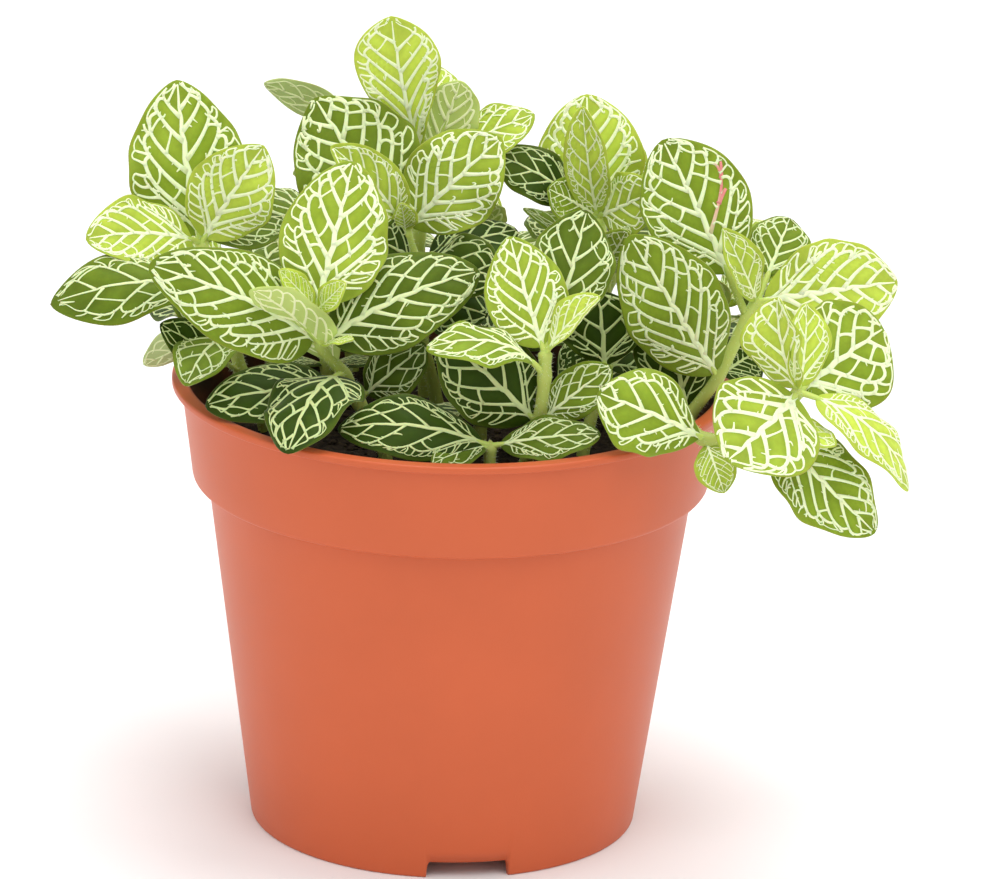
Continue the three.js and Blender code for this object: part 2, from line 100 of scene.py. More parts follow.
STEMS = [
    ("stem_left", [(-40, -4, SURFACE), (-45, -8, 101), (-47, -8, 109), (-54, -6, 129)], [
        (3, (-60, 4, 162), (0.05, -0.93, 0.36), 25.5, 0.04, 0.1, 0.05, 0.42, 0.4),
        (3, (-41, -13, 153), (0.08, -0.95, 0.3), 19, 0.04, 0.12, 0.06, 0.5, 0.1),
        (3, (-78, -18, 133), (-0.1, -0.72, 0.68), 17, 0.12, 0.1, 0.1, 0.5, 0.18),
        (3, (-37, 8, 131), (0, -0.45, 0.9), 15, 0.08, -0.1, 0.1, 0.5, 0.8),
        (2, (-59, 2, 118), (0, -0.45, 0.9), 13, 0.05, -0.1, 0.1, 0.5, 0.9),
        (2, (-85, -26, 121), (-0.1, -0.66, 0.74), 17, 0.34, -0.15, 0.1, 0.74, 0.7),
        (1, (-62, -22, 116), (0, -0.9, 0.45), 10, 0.08, -0.1, 0.3, 0.5, 0.95),
        (2, (-66, -4, 101), (0, 0.85, 0.52), 11, 0.08, 0.1, 0.1, 0.5, 0.55),
        (2, (-56, -36, 107), (-0.2, -0.85, 0.5), 13, 0.1, 0.1, 0.1, 0.5, 0.6),
    ]),
    ("stem_front_left", [
        (-14, -22, SURFACE), (-20, -22, 100), (-23, -23, 106), (-28, -27, 114), (-29, -29, 122),
    ], [
        (4, (-22, -16, 151), (0, -0.93, 0.37), 23, 0.03, 0.1, 0.05, 0.42, 0.33),
        (4, (-37, -33, 132), (0.4, -0.8, 0.4), 6, 0.02, 0.3, 0.1, 0.5, 0),
        (4, (-23, -34, 130), (-0.4, -0.8, 0.4), 6, 0.02, 0.3, 0.1, 0.5, 0),
        (3, (-64, -38, 134), (-0.1, -0.75, 0.66), 22, 0.15, -0.12, 0.06, 0.42, 0.6),
        (3, (5, -24, 130), (0.1, -0.8, 0.6), 21, 0.13, -0.12, 0.06, 0.45, 0.8),
        (2, (-42, -46, 132), (-0.2, 0.6, 0.77), 12, 0.06, 0.15, 0.1, 0.5, 0),
        # A tiny leaf that is made here alone.
        (3, (-21, -31, 116.5), (-0.1, -0.3, 0.95), 4.5, 0.05, 0.2, 0.08, 0.4, 0),
        (1, (-52, -31, 101), (-0.1, -0.6, 0.8), 17, 0.15, -0.1, 0.1, 0.5, 1),
        (1, (-6, -28, 115), (0.1, -0.85, 0.5), 12, 0.06, 0.05, 0.15, 0.5, 0.85),
        (2, (-34, -55, 99), (-0.2, -0.5, 0.85), 20.5, 0.14, -0.1, 0.12, 0.42, 1),
    ]),
    ("stem_top", [(-6, 20, SURFACE), (-8, 14, 127), (-7, 14, 140)], [
        (1, (2, 36, 138), (0.1, -0.5, 0.85), 16, 0.1, -0.1, 0.1, 0.5, 0.7),
        (1, (-20, 10, 138), (-0.2, -0.3, 0.9), 12, 0.1, -0.1, 0.2, 0.5, 0.7),
        (2, (-6, 34, 158), (0, -0.5, 0.85), 14, 0.1, 0.1, 0.1, 0.5, 0.2),
        (2, (-15, 8, 176), (-0.1, -0.9, 0.42), 18.5, 0.03, 0.12, 0.06, 0.72, 0),
        (2, (0, 9, 162), (0.1, 0.93, 0.3), 14, 0.04, 0.1, 0.1, 0.5, 0),
        (2, (16, 12, 154), (0.2, -0.55, 0.8), 13.5, 0.1, -0.1, 0.1, 0.55, 0.2),
    ]),
    ("stem_centre", [(-3, 8, SURFACE), (-9, -1, 116), (-9, -2, 125), (-11, -4, 132)], [
        (3, (-31, 10, 157), (0.05, -0.93, 0.36), 28, 0.03, 0.08, 0.08, 0.45, 0.62),
        (3, (-27, -12, 153), (0.3, -0.85, 0.4), 12, 0.1, 0.4, 0.1, 0.5, 0.15),
        (3, (9, -6, 154), (0.05, -0.95, 0.3), 21, 0.03, 0.1, 0.06, 0.5, 0.3),
        (3, (-12, -9, 140), (0, -0.9, 0.4), 6, 0.03, 0.3, 0.1, 0.5, 0),
        (2, (-17, -14, 133), (-0.1, -0.85, 0.5), 14, 0.06, -0.1, 0.1, 0.5, 0.95),
        (2, (9, -14, 125), (0.1, -0.8, 0.6), 16, 0.08, -0.1, 0.15, 0.5, 0.95),
        (2, (13, 6, 130), (0.1, -0.6, 0.8), 14, 0.08, -0.1, 0.15, 0.5, 0.95),
        (1, (-27, 0, 115), (-0.1, -0.7, 0.7), 16, 0.08, -0.1, 0.12, 0.5, 1),
        (1, (7, -8, 115), (0.1, -0.7, 0.7), 15, 0.08, -0.1, 0.12, 0.5, 1),
    ]),
    ("stem_back", [(-16, 36, SURFACE), (-18, 30, 131), (-23, 26, 146)], [
        (1, (-33, 40, 130), (-0.3, 0.3, 0.9), 16, 0.1, -0.1, 0.1, 0.5, 0.7),
        (1, (6, 44, 130), (0.3, 0.3, 0.9), 16, 0.1, -0.1, 0.1, 0.5, 0.7),
        (2, (-24, 50, 144), (0, -0.3, 0.95), 15, 0.1, 0.1, 0.1, 0.5, 0.2),
        (2, (-42, 24, 156), (-0.2, 0.8, 0.55), 9.5, 0.06, 0.1, 0.05, 0.5, 0.4),
        (2, (-18, 34, 147), (-0.2, -0.5, 0.85), 10, 0.06, 0.1, 0.1, 0.5, 0.4),
    ]),
    ("stem_back_right", [(30, 20, SURFACE), (32, 10, 122), (30, 10, 132)], [
        (1, (44, 34, 124), (0.3, 0.3, 0.9), 17, 0.1, -0.1, 0.1, 0.5, 0.8),
        (1, (16, 30, 126), (-0.3, 0.3, 0.9), 15, 0.1, -0.1, 0.1, 0.5, 0.8),
        (2, (36, 34, 142), (0.1, -0.4, 0.9), 14, 0.1, 0.1, 0.1, 0.5, 0.3),
        (2, (27, 18, 157), (0, -0.93, 0.37), 23, 0.03, 0.1, 0.05, 0.45, 0.12),
        (2, (26, 2, 159), (-0.2, -0.9, 0.36), 10, 0.04, 0.45, 0.05, 0.5, 0.05),
        (2, (42, -2, 142), (0.1, -0.85, 0.5), 14, 0.05, 0.05, 0.1, 0.5, 0.2),
        (2, (19, 4, 140), (-0.1, -0.85, 0.5), 11, 0.06, 0.05, 0.1, 0.5, 0.4),
        (1, (14, 12, 133), (0, -0.12, 0.99), 8, 0.04, 0.05, 0.1, 0.5, 0.5),
        (2, (8, 8, 146), (0, -0.72, 0.7), 12.5, 0.08, -0.1, 0.2, 0.55, 0.9),
        (1, (36, -2, 133), (0.1, -0.9, 0.4), 9, 0.04, 0.05, 0.1, 0.5, 0.3),
    ]),
    ("stem_front", [(15, -34, SURFACE), (18, -37, 101), (19, -39, 112), (19, -39, 117)], [
        (3, (11, -31, 140), (-0.05, -0.93, 0.37), 17.5, 0.03, 0.1, 0.06, 0.45, 0.3),
        (3, (30, -46, 132), (-0.4, -0.5, 0.77), 10, 0.04, 0.4, 0.1, 0.5, 0.05),
        (3, (27, -24, 144), (0.1, -0.93, 0.35), 18, 0.04, -0.05, 0.15, 0.55, 0.78),
        (2, (-6, -47, 120), (0, -0.4, 0.92), 14, 0.22, -0.1, 0.15, 0.6, 0.45),
        (1, (-3, -40, 121), (-0.1, -0.9, 0.42), 20, 0.04, -0.08, 0.06, 0.45, 1),
        (1, (33, -34, 113), (0.1, -0.75, 0.66), 11, 0.05, -0.05, 0.1, 0.5, 0.6),
    ]),
    ("stem_right_front", [
        (40, -30, SURFACE), (47, -36, 103), (53, -42, 100), (66, -43, 104), (72, -42, 111),
    ], [
        (2, (30, -46, 111), (-0.1, -0.8, 0.6), 19, 0.12, -0.1, 0.06, 0.58, 0.45),
        (2, (57, -50, 91), (0, -0.95, 0.3), 9, 0.05, 0.1, 0.1, 0.5, 0.15),
        (4, (57, -59, 101), (-0.1, -0.95, 0.3), 25.5, 0.05, 0.1, 0.06, 0.5, 0.3),
        (4, (96, -40, 89), (0.2, -0.5, 0.85), 12.5, 0.2, -0.15, 0.1, 0.42, 0.05),
        (3, (89, -47, 82), (0.3, -0.85, 0.43), 18.5, 0.02, 0, 0.1, 0.42, 0.45),
        (4, (67, -40, 131), (-0.75, -0.6, 0.25), 17, 0.06, 0.35, 0.04, 0.5, 0.1),
        (4, (90, -28, 121), (0.15, -0.95, 0.28), 25, 0.04, 0.08, 0.06, 0.5, 0.42),
        (3, (80, -50, 102), (0.1, -0.3, 0.9), 8, 0.05, 0.1, 0.1, 0.5, 0),
        # Its tip is 2.5 mm further forwards than in the solids, clear of the leaf behind it.
        (4, (73, -37.5, 129), (0.5, -0.7, 0.5), 11, 0.04, 0.3, 0.05, 0.5, 0.05),
    ]),
    ("stem_right", [
        (47, -11, SURFACE), (50, -13, 95), (56, -12, 104), (62, -8, 116), (64, -6, 119),
    ], [
        (3, (74, 16, 112), (0.4, 0.3, 0.9), 16, 0.12, -0.1, 0.1, 0.5, 0.8),
        (4, (62, 18, 130), (0, -0.4, 0.9), 14, 0.1, 0.1, 0.1, 0.5, 0.3),
        (2, (36, -22, 138), (-0.1, -0.86, 0.51), 22, 0.07, -0.08, 0.03, 0.5, 0.5),
        (3, (43, 2, 152), (0.1, -0.9, 0.42), 23.5, 0.05, 0.05, 0.25, 0.5, 0.48),
        (4, (56, -15, 138), (0.4, -0.8, 0.4), 9, 0.04, 0.45, 0.05, 0.5, 0.1),
        (4, (71, 10, 133), (0.1, -0.85, 0.5), 14, 0.06, 0, 0.3, 0.5, 0.6),
        (4, (94, -2, 123), (0.1, -0.9, 0.44), 22, 0.12, 0.05, 0.05, 0.5, 0.1),
        (1, (43, -10, 120), (-0.1, -0.88, 0.45), 17, 0.04, -0.05, 0.1, 0.5, 1),
        (2, (65, -2, 107), (0.1, -0.8, 0.6), 12, 0.04, -0.05, 0.1, 0.5, 1),
    ]),
    ("stem_mid_right", [(28, -16, SURFACE), (32, -14, 105)], [
        (1, (30, -10, 122), (0, -0.9, 0.4), 18, 0.04, -0.05, 0.1, 0.5, 1),
        (1, (42, 4, 108), (0.2, -0.85, 0.5), 14, 0.05, -0.05, 0.1, 0.5, 1),
        (1, (24, -6, 110), (-0.2, -0.85, 0.5), 16, 0.05, -0.05, 0.1, 0.5, 1),
    ]),
    ("stem_front_low", [(8, -44, SURFACE), (8, -44, 98)], [
        (1, (-24, -44, 101), (0, -0.66, 0.75), 15, 0.17, -0.12, 0.05, 0.5, 1),
        (1, (-4, -54, 97), (0, -0.3, 0.95), 8, 0.05, 0, 0.1, 0.5, 0.8),
        (1, (31, -46, 102), (0.1, -0.55, 0.83), 12, 0.06, -0.05, 0.1, 0.5, 0.8),
    ]),
]
# One side vein of this leaf is pink: its stem and its tip.
BLUSHING = ("stem_right", (43, 2, 152))

# Bushy stems on the far side carry crossed pairs of leaves: name, root, head, compass turn of
# the lowest pair in degrees, and reach of its leaves.
BUSHY_STEMS = [
    ("stem_far_left", (-37, 24), (-50, 32, 108), 150, 27),
    ("stem_far_back_left", (-22, 40), (-28, 54, 117), 60, 29),
    ("stem_far_back", (4, 44), (5, 57, 110), 98, 26),
    ("stem_far_back_right", (28, 36), (36, 46, 113), 162, 27),
    ("stem_far_right", (44, 14), (58, 22, 107), 45, 27),
    ("stem_inner", (12, 12), (12, 16, 110), 27, 18),
    ("stem_inner_left", (-26, 2), (-28, 1, 110), 10, 12),
    ("stem_inner_front", (6, -18), (6, -20, 104), 10, 17),
]
# Each pair: place along the stem, share of the reach, climb in degrees, age.
BUSHY_PAIRS = [(0.58, 1.0, 0, 0.95), (0.82, 0.92, 22, 0.7), (1.0, 0.65, 52, 0.2)]
# Every leaf of theirs: its width as a share of its length, then bow, cup, stalk and belly.
BUSHY_WIDTH = 0.62
BUSHY_FORM = (0.1, -0.08, 0.1, 0.46)
BUSHY_LEAN = 1.5  # power of the place along the stem with which its sideways lean grows

# What the random numbers start from.
STEM_SEED = 1000
CRUMB_SEED = 7
CLOD_SEED = 41


def bushy_stem(name, root, head, turn, reach):
    """A stem row from its few numbers. Its sideways lean grows with a power of the place
    along it, and its height grows evenly. Each pair of leaves is turned a quarter from the
    last, and a leaf's tip lies its length away at that turn and climb."""
    points = [(*root, SURFACE)]
    leaves = []
    for pair, (place, share, climb, age) in enumerate(BUSHY_PAIRS):
        lean = place**BUSHY_LEAN
        point = (
            root[0] + (head[0] - root[0]) * lean,
            root[1] + (head[1] - root[1]) * lean,
            SOIL_TOP + (head[2] - SOIL_TOP) * place,
        )
        points.append(point)
        rise = math.radians(climb)
        length = reach * share
        for half_turn in (0, 180):
            compass = math.radians(turn + 90 * pair + half_turn)
            east, north = math.cos(compass), math.sin(compass)
            tip = (
                point[0] + length * math.cos(rise) * east,
                point[1] + length * math.cos(rise) * north,
                point[2] + length * math.sin(rise),
            )
            face = (-math.sin(rise) * east, -math.sin(rise) * north, math.cos(rise))
            leaves.append((pair + 1, tip, face, length * BUSHY_WIDTH, *BUSHY_FORM, age))
    return name, points, leaves


# ---------- Settings ----------


def length_setting(name, description, default):
    """A length in metres, from its default in millimetres."""
    return bpy.props.FloatProperty(
        name=name, description=description, default=default * MM, min=0, precision=5,
        subtype="DISTANCE", unit="LENGTH",
    )


def share_setting(name, description, default):
    """A share from 0 to 1."""
    return bpy.props.FloatProperty(
        name=name, description=description, default=default, min=0, max=1, subtype="FACTOR"
    )


def colour_setting(name, description, default):
    """A colour as red, green and blue from 0 to 1."""
    return bpy.props.FloatVectorProperty(
        name=name, description=description, default=default, min=0, max=1, size=3,
        subtype="COLOR",
    )


class LeafSettings(bpy.types.PropertyGroup):
    """Sizes and colours of the leaves and their veins."""

    thickness: length_setting("Blade thickness", "Between the two faces of a leaf", 0.46)
    quilting: length_setting("Quilting", "How far the green cells stand up between the veins", 0.25)
    wave: length_setting("Wave", "How far the edge of a wide leaf waves up and down", 1.3)
    ripple: share_setting("Ripple", "How unevenly wide the blade is, of its width", 0.018)
    vein_height: length_setting("Vein height", "How far a vein stands off the upper face", 0.12)
    under_vein_height: length_setting("Vein height below", "The same on the lower face", 0.14)
    green_edge: length_setting("Green edge", "Plain border outside a grown leaf's veins", 0.75)
    midrib: share_setting("Midrib", "Its width at the foot, of the leaf's width", 0.074)
    side_vein: share_setting("Side veins", "Their width at the midrib, of the leaf's width", 0.051)
    fine_vein: share_setting("Fine veins", "Width of links and spurs, of the leaf's width", 0.029)
    young: colour_setting("Young green", "Blade of a new leaf", (0.545, 0.68, 0.08))
    grown: colour_setting("Grown green", "Blade of a full-grown leaf", (0.23, 0.33, 0.022))
    old: colour_setting("Old green", "Blade of a leaf deep in the plant", (0.028, 0.058, 0.001))
    under: colour_setting("Underside", "Lower face of a new leaf", (0.55, 0.68, 0.2))
    under_old: colour_setting("Old underside", "The same on an old leaf", (0.44, 0.53, 0.25))
    vein_young: colour_setting("Young veins", "Veins of a new leaf", (0.97, 0.98, 0.62))
    vein_old: colour_setting("Old veins", "Veins of an old leaf", (0.6, 0.66, 0.3))
    under_vein: colour_setting("Veins below", "Veins on the lower face", (0.93, 0.97, 0.58))
    under_vein_old: colour_setting(
        "Old veins below", "Veins on the lower face of an old leaf", (0.74, 0.8, 0.45)
    )
    vein_pink: colour_setting("Pink veins", "The few veins that blush", (0.85, 0.16, 0.2))


class StemSettings(bpy.types.PropertyGroup):
    """Sizes and colours of the stems, stalks and hairs."""

    radius: length_setting("Stem radius", "At the soil", 1.55)
    stalk_radius: length_setting("Stalk radius", "Where a leaf leaves the stem", 0.95)
    hair: length_setting("Hair length", "Longest of the fine hairs", 1.1)
    hair_radius: length_setting("Hair radius", "At the foot of a hair", 0.045)
    hairs: bpy.props.IntProperty(
        name="Hairs", description="Hairs on each 10 mm of stem", default=70, min=0
    )
    colour: colour_setting("Stem green", "Fresh upper stem", (0.56, 0.68, 0.15))
    foot_colour: colour_setting("Foot green", "Older stem near the soil", (0.36, 0.42, 0.09))
    hair_colour: colour_setting("Hair colour", "The fine hairs", (0.75, 0.8, 0.6))


class PotSettings(bpy.types.PropertyGroup):
    """Sizes and colours of the pot."""

    wall: length_setting("Wall", "Thickness of the moulded wall", 1.4)
    lip: length_setting("Lip", "Thickness of the flange at the mouth", 1.6)
    # This colour is painted shade on the inner wall above the soil, not peat.
    inner_shade: colour_setting("Stain", "Peat smeared on the inner wall", (0.05, 0.026, 0.016))
    colour: colour_setting("Terracotta", "The plastic", (0.56, 0.108, 0.035))
    sides: bpy.props.IntProperty(
        name="Sides", description="Faces round the pot", default=240, min=24
    )


class SoilSettings(bpy.types.PropertyGroup):
    """Sizes and colours of the soil."""

    roughness: length_setting("Roughness", "Height of the clods", 1.3)
    crumb: length_setting("Crumb", "Largest loose crumb", 2.2)
    crumbs: bpy.props.IntProperty(
        name="Crumbs", description="Loose crumbs on the soil", default=1500, min=0
    )
    colour: colour_setting("Peat", "Damp peat", (0.014, 0.010, 0.007))
    dry: colour_setting("Dry peat", "Drier crumbs", (0.05, 0.034, 0.022))


class StageSettings(bpy.types.PropertyGroup):
    """The camera and the light."""

    lens: bpy.props.FloatProperty(
        name="Lens", description="Focal length", default=319.5, unit="CAMERA"
    )
    distance: length_setting("Distance", "From the lens to the pot", 1907.1)
    aside: length_setting("Aside", "How far left of the pot's axis the lens stands", 4.17)
    aim_height: length_setting("Aim height", "Height that the distance is taken from", 60)
    climb: bpy.props.FloatProperty(
        name="Climb", description="Lens above the aim", default=math.radians(19.248),
        subtype="ANGLE",
    )
    pitch: bpy.props.FloatProperty(
        name="Pitch", description="Lens turned down", default=math.radians(18.54),
        subtype="ANGLE",
    )
    yaw: bpy.props.FloatProperty(
        name="Yaw", description="Lens turned right", default=math.radians(0.463),
        subtype="ANGLE",
    )
    roll: bpy.props.FloatProperty(
        name="Roll", description="Lens rolled", default=math.radians(1.556), subtype="ANGLE"
    )
    floor: colour_setting("Floor", "The pale floor", (0.94, 0.94, 0.94))


# ---------- Meshes ----------

CELL_MARGIN = 0.04  # plain border of a cell in the map that textures are baked to
TRIANGLE = np.array([[0.2, 0.2], [0.8, 0.2], [0.5, 0.8]])  # a small face's corners in a cell


def unit(vectors):
    """Each vector divided by its own length."""
    return vectors / np.maximum(np.linalg.norm(vectors, axis=-1, keepdims=True), 1e-9)


class Build:
    """Gathers surfaces in millimetres about the pot's axis, and makes one mesh of them."""

    def __init__(self):
        self.points = []
        self.faces = []
        self.slots = []
        self.places = []
        self.values = {}
        self.count = 0

    def add(self, points, blocks, slot, **values):
        """Adds points of shape (n, 3), blocks of faces for cover(), and values that hold one
        number for each point, and gives the number of the first point."""
        start = self.count
        self.points.append(points)
        for name, value in values.items():
            numbers = np.broadcast_to(value, len(points))
            self.values.setdefault(name, []).append((start, numbers))
        self.count += len(points)
        self.cover(start, blocks, slot)
        return start

    def cover(self, start, blocks, slot):
        """Faces between the points from start on. Each block is an index array of 3 or 4
        columns, with the place of each of its corners in the map that textures are baked to."""
        for block, places in blocks:
            self.faces.append(block + start)
            self.places.append(np.reshape(places, (-1, 2)))
            self.slots.append(np.full(len(block), slot))

    def finish(self, name, materials, nodes):
        """The object, riding on the body and standing for the nodes."""
        points = np.concatenate(self.points) * MM + POT_AXIS
        mesh = bpy.data.meshes.new(name)
        mesh.vertices.add(len(points))
        mesh.vertices.foreach_set("co", points.astype(np.float32).ravel())
        corners = np.concatenate([block.ravel() for block in self.faces])
        sizes = np.concatenate([np.full(len(b), b.shape[1]) for b in self.faces])
        mesh.loops.add(len(corners))
        mesh.loops.foreach_set("vertex_index", corners.astype(np.int32))
        mesh.polygons.add(len(sizes))
        starts = np.concatenate([[0], np.cumsum(sizes)[:-1]])
        mesh.polygons.foreach_set("loop_start", starts.astype(np.int32))
        mesh.polygons.foreach_set("use_smooth", np.ones(len(sizes), bool))
        slots = np.concatenate(self.slots).astype(np.int32)
        mesh.polygons.foreach_set("material_index", slots)
        layer = mesh.uv_layers.new(name="OFBake")
        flat = np.concatenate(self.places).astype(np.float32)
        layer.data.foreach_set("uv", flat.ravel())
        for title, parts in self.values.items():
            flat = np.zeros(len(points), np.float32)
            for start, numbers in parts:
                flat[start:start + len(numbers)] = numbers
            mesh.attributes.new(title, "FLOAT", "POINT").data.foreach_set("value", flat)
        mesh.update(calc_edges=True)
        if mesh.validate():
            raise RuntimeError(f"{name} has broken faces")
        for material in materials:
            mesh.materials.append(material)
        piece = bpy.data.objects.new(name, mesh)
        bpy.context.scene.collection.objects.link(piece)
        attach(piece, BODY)
        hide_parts(*nodes)
        return piece


def grid_faces(rows, columns, closed=False):
    """Quads of a grid of points counted row by row, and their corners' places in the unit
    square. The faces look the way that across times along points. A closed grid joins its
    last column to its first."""
    across = columns if closed else columns - 1
    i, j = np.meshgrid(np.arange(rows - 1), np.arange(across), indexing="ij")
    row = np.stack([i, i, i + 1, i + 1], -1).reshape(-1, 4)
    column = np.stack([j, j + 1, j + 1, j], -1).reshape(-1, 4)
    places = np.stack([column / across, row / (rows - 1)], -1)
    return row * columns + column % columns, places


def fan_faces(ring, pole, inward):
    """Triangles from a ring of point numbers to its pole, at a tube's end or a dish's middle."""
    following = np.roll(ring, -1)
    order = (following, ring) if inward else (ring, following)
    faces = np.stack([*order, np.full(len(ring), pole)], -1)
    share = np.arange(len(ring)) / len(ring)
    step = 1 / len(ring)
    first, second = (share + step, share) if inward else (share, share + step)
    ends = np.stack([first, second, share + step / 2], -1)
    return faces, np.stack([ends, np.full(ends.shape, 0.0 if inward else 1.0)], -1)


def cell(index, total, places):
    """Moves places from the unit square to one of total equal cells, which fill the map row
    by row: the cell's corner, and its size times the place inside its margin."""
    columns = math.ceil(math.sqrt(total))
    rows = math.ceil(total / columns)
    size = np.array([1 / columns, 1 / rows])
    corner = np.array([index % columns, index // columns]) * size
    return corner + size * (CELL_MARGIN + (1 - 2 * CELL_MARGIN) * np.clip(places, 0, 1))


# ---------- Leaves ----------

# The materials of a stem and its leaves, in the order that plant_materials() gives.
UPPER, UNDER, VEIN, UNDER_VEIN, STALK, HAIR = range(6)

FULL_WAVE_WIDTH = 20.0  # a leaf this wide or wider has its full wave and quilting
OPENING_BLADE = 14.0  # a leaf with a shorter blade is still opening
OPENING_VEINS = 6  # side veins on each half of an opening leaf
LOWEST_VEIN = 0.12  # share of the blade near which the lowest side vein leaves the midrib
VEIN_SPREAD = 0.68  # share from there to the highest one
STEEPEST_CLIMB = 0.58  # largest share of the blade that a side vein climbs
HALVINGS = 14  # steps in which a place on a side vein is found
STALK_HALF = 0.55  # half the width of the blade's foot, where the stalk comes in
FULL_FOOT = 0.62  # power that makes the blade's outline plump at its foot
GROOVE_HALF = 1.3  # half the width of the groove along the midrib
BLADE_STEP = 0.7  # mean distance between two rows of points on a blade of middling size
SIDE_STEP = 0.75  # the same from column to column


class Leaf:
    """One leaf's own form. A place on it is (share, across): share runs from 0 at the foot
    of the blade to 1 at its tip, and across from -1 at the left edge to 1 at the right one."""

    def __init__(self, foot, row, rng, look):
        _, tip, face, width, bow, cup, stalk, belly, age = row
        self.foot = np.array(foot, float)
        self.axis = np.array(tip, float) - self.foot
        self.length = np.linalg.norm(self.axis)
        along = self.axis / self.length
        face = np.array(face, float)
        self.up = unit(face - face @ along * along)
        self.side = np.cross(along, self.up)
        self.width, self.bow, self.cup, self.stalk, self.age = width, bow, cup, stalk, age
        self.blade = self.length * (1 - stalk)
        # The power of the share that moves the crest of a sine arch to the belly.
        self.skew = math.log(0.5) / math.log(belly)
        self.tip_form = rng.uniform(0.56, 0.72)
        self.twist = rng.uniform(-0.25, 0.25)
        self.sway = rng.uniform(-0.02, 0.02)
        self.climb = min(STEEPEST_CLIMB, 0.9 * width / self.blade)
        scale = min(1.0, width / FULL_WAVE_WIDTH)
        self.wave = look.wave / MM * scale * rng.uniform(0.6, 1.3)
        self.wave_count = rng.uniform(1.2, 2.4, 2)
        self.wave_start = rng.uniform(0, 2 * math.pi, 2)
        self.ripple = look.ripple * rng.uniform(0.5, 1.3, 2)
        self.quilting = look.quilting / MM * scale
        self.thickness = look.thickness / MM
        # A leaf that is still opening has all its side veins, close together and thin. On the
        # others a long blade has more of them, and an old one fewer.
        self.opening = self.blade < OPENING_BLADE
        count = int(np.clip(round(2.8 + self.blade / 12 - age), 3, 7))
        count = OPENING_VEINS if self.opening else count
        spots = LOWEST_VEIN + VEIN_SPREAD * (np.arange(count) / (count - 1)) ** 1.05
        gap = VEIN_SPREAD / (count - 1)
        # The veins of the two halves leave the midrib a little apart.
        shift = rng.choice((-1, 1)) * rng.uniform(0.12, 0.22) * gap
        self.origins = [
            spots + rng.uniform(-0.1, 0.1, count) * gap + way * shift for way in (-1, 1)
        ]

    def rise(self, reach):
        """How a side vein climbs with its distance from the midrib, from 0 to 1: 0.6 of the
        reach and 0.4 of its square."""
        return 0.6 * reach + 0.4 * reach**2

    def origin(self, share, reach):
        """Where on the midrib the side vein that passes here would start: its climb times
        rise() lower, and nearly as high at the tip."""
        return share - self.climb * (1 - share**5) * self.rise(reach)

    def height(self, origin, reach):
        """The share at which a side vein from there has come to this reach: the inverse of
        origin(), found by halving the range that it lies in."""
        low = np.zeros(np.broadcast(origin, reach).shape)
        step = 0.5
        for _ in range(HALVINGS):
            low = np.where(self.origin(low + step, reach) < origin, low + step, low)
            step /= 2
        return low

    def half_width(self, share):
        """A sine arch whose crest is moved to the belly, raised to a power that goes from
        the foot's to the tip's, and joined to the stalk's own width by a root of squares."""
        power = FULL_FOOT + (self.tip_form - FULL_FOOT) * share
        arch = np.sin(np.pi * np.clip(share, 0, 1) ** self.skew).clip(0) ** power
        return np.hypot(self.width / 2 * arch, STALK_HALF * (1 - share) + 0.03)

    def frame(self, u):
        """Middle line, level and right directions at share u of the whole length. The line
        is a parabola, 4 u (1 - u), bowed towards the face, which also sways a little to one
        side, and the blade turns about it evenly."""
        u = np.asarray(u)[..., None]
        bend = 4 * self.length * u * (1 - u)
        slope = 4 * self.length * (1 - 2 * u)
        leaning = self.up * self.bow + self.side * self.sway
        middle = self.foot + self.axis * u + leaning * bend
        tangent = unit(self.axis + leaning * slope)
        level = unit(np.cross(self.side, tangent))
        right = np.cross(tangent, level)
        turn = self.twist * (u - 0.3)
        turned = level * np.cos(turn) - right * np.sin(turn)
        return middle, turned, right * np.cos(turn) + level * np.sin(turn)

    def pillow(self, share, across):
        """How far the green stands up between veins, from 0 to 1: a squared sine from each
        side vein to the next, which fades to the midrib and to the edge."""
        reach = np.clip(np.abs(across), 0, 1)
        origin = self.origin(share, reach)
        count = len(self.origins[0])
        order = [np.interp(origin, spots, np.arange(count)) for spots in self.origins]
        phase = np.where(across < 0, *order)
        return np.sin(np.pi * phase) ** 2 * np.clip(5 * reach * (1 - reach), 0, 1)

    def skin(self, share, across):
        """Points of the sheet in the middle of the blade. It is lifted by the cup, which grows
        with the reach to the power 1.5, by a wave that grows with its square, by the pillows,
        and by a bell-shaped groove along the midrib. The half width ripples with a cosine."""
        middle, level, right = self.frame(self.stalk + (1 - self.stalk) * share)
        half = self.half_width(share)
        reach = np.abs(across)
        which = (across > 0).astype(int)
        phase = 2 * np.pi * self.wave_count[which] * share + self.wave_start[which]
        waving = self.wave * reach**2 * np.sin(phase) * np.sin(np.pi * np.clip(share, 0, 1))
        half = half * (1 + self.ripple[which] * reach * np.cos(1.7 * phase + 1))
        groove = -0.5 * self.quilting * np.exp(-((across * half / GROOVE_HALF) ** 2))
        pillow = self.quilting * self.pillow(share, across)
        lift = self.cup * half * reach**1.5 + waving + groove + pillow
        return middle + right * (across * half)[..., None] + level * lift[..., None]

    def surface(self, share, across):
        """Points of the middle sheet, and its unit normals, which are square to the small
        differences along and across."""
        step = 2e-3
        ahead = self.skin(np.clip(share + step, 0, 1), across)
        behind = self.skin(np.clip(share - step, 0, 1), across)
        right = self.skin(share, across + step)
        left = self.skin(share, across - step)
        return self.skin(share, across), unit(np.cross(right - left, ahead - behind))

    def half_thickness(self, share, across):
        """Half the blade's thickness, rounded off to nothing at the edge: the root of 1 less
        the fifth power of the reach, and of a short ramp at the tip."""
        edge = np.clip(1 - np.abs(across) ** 5, 0, 1) * np.clip((1 - share) * 40, 0, 1)
        return self.thickness / 2 * np.sqrt(edge)


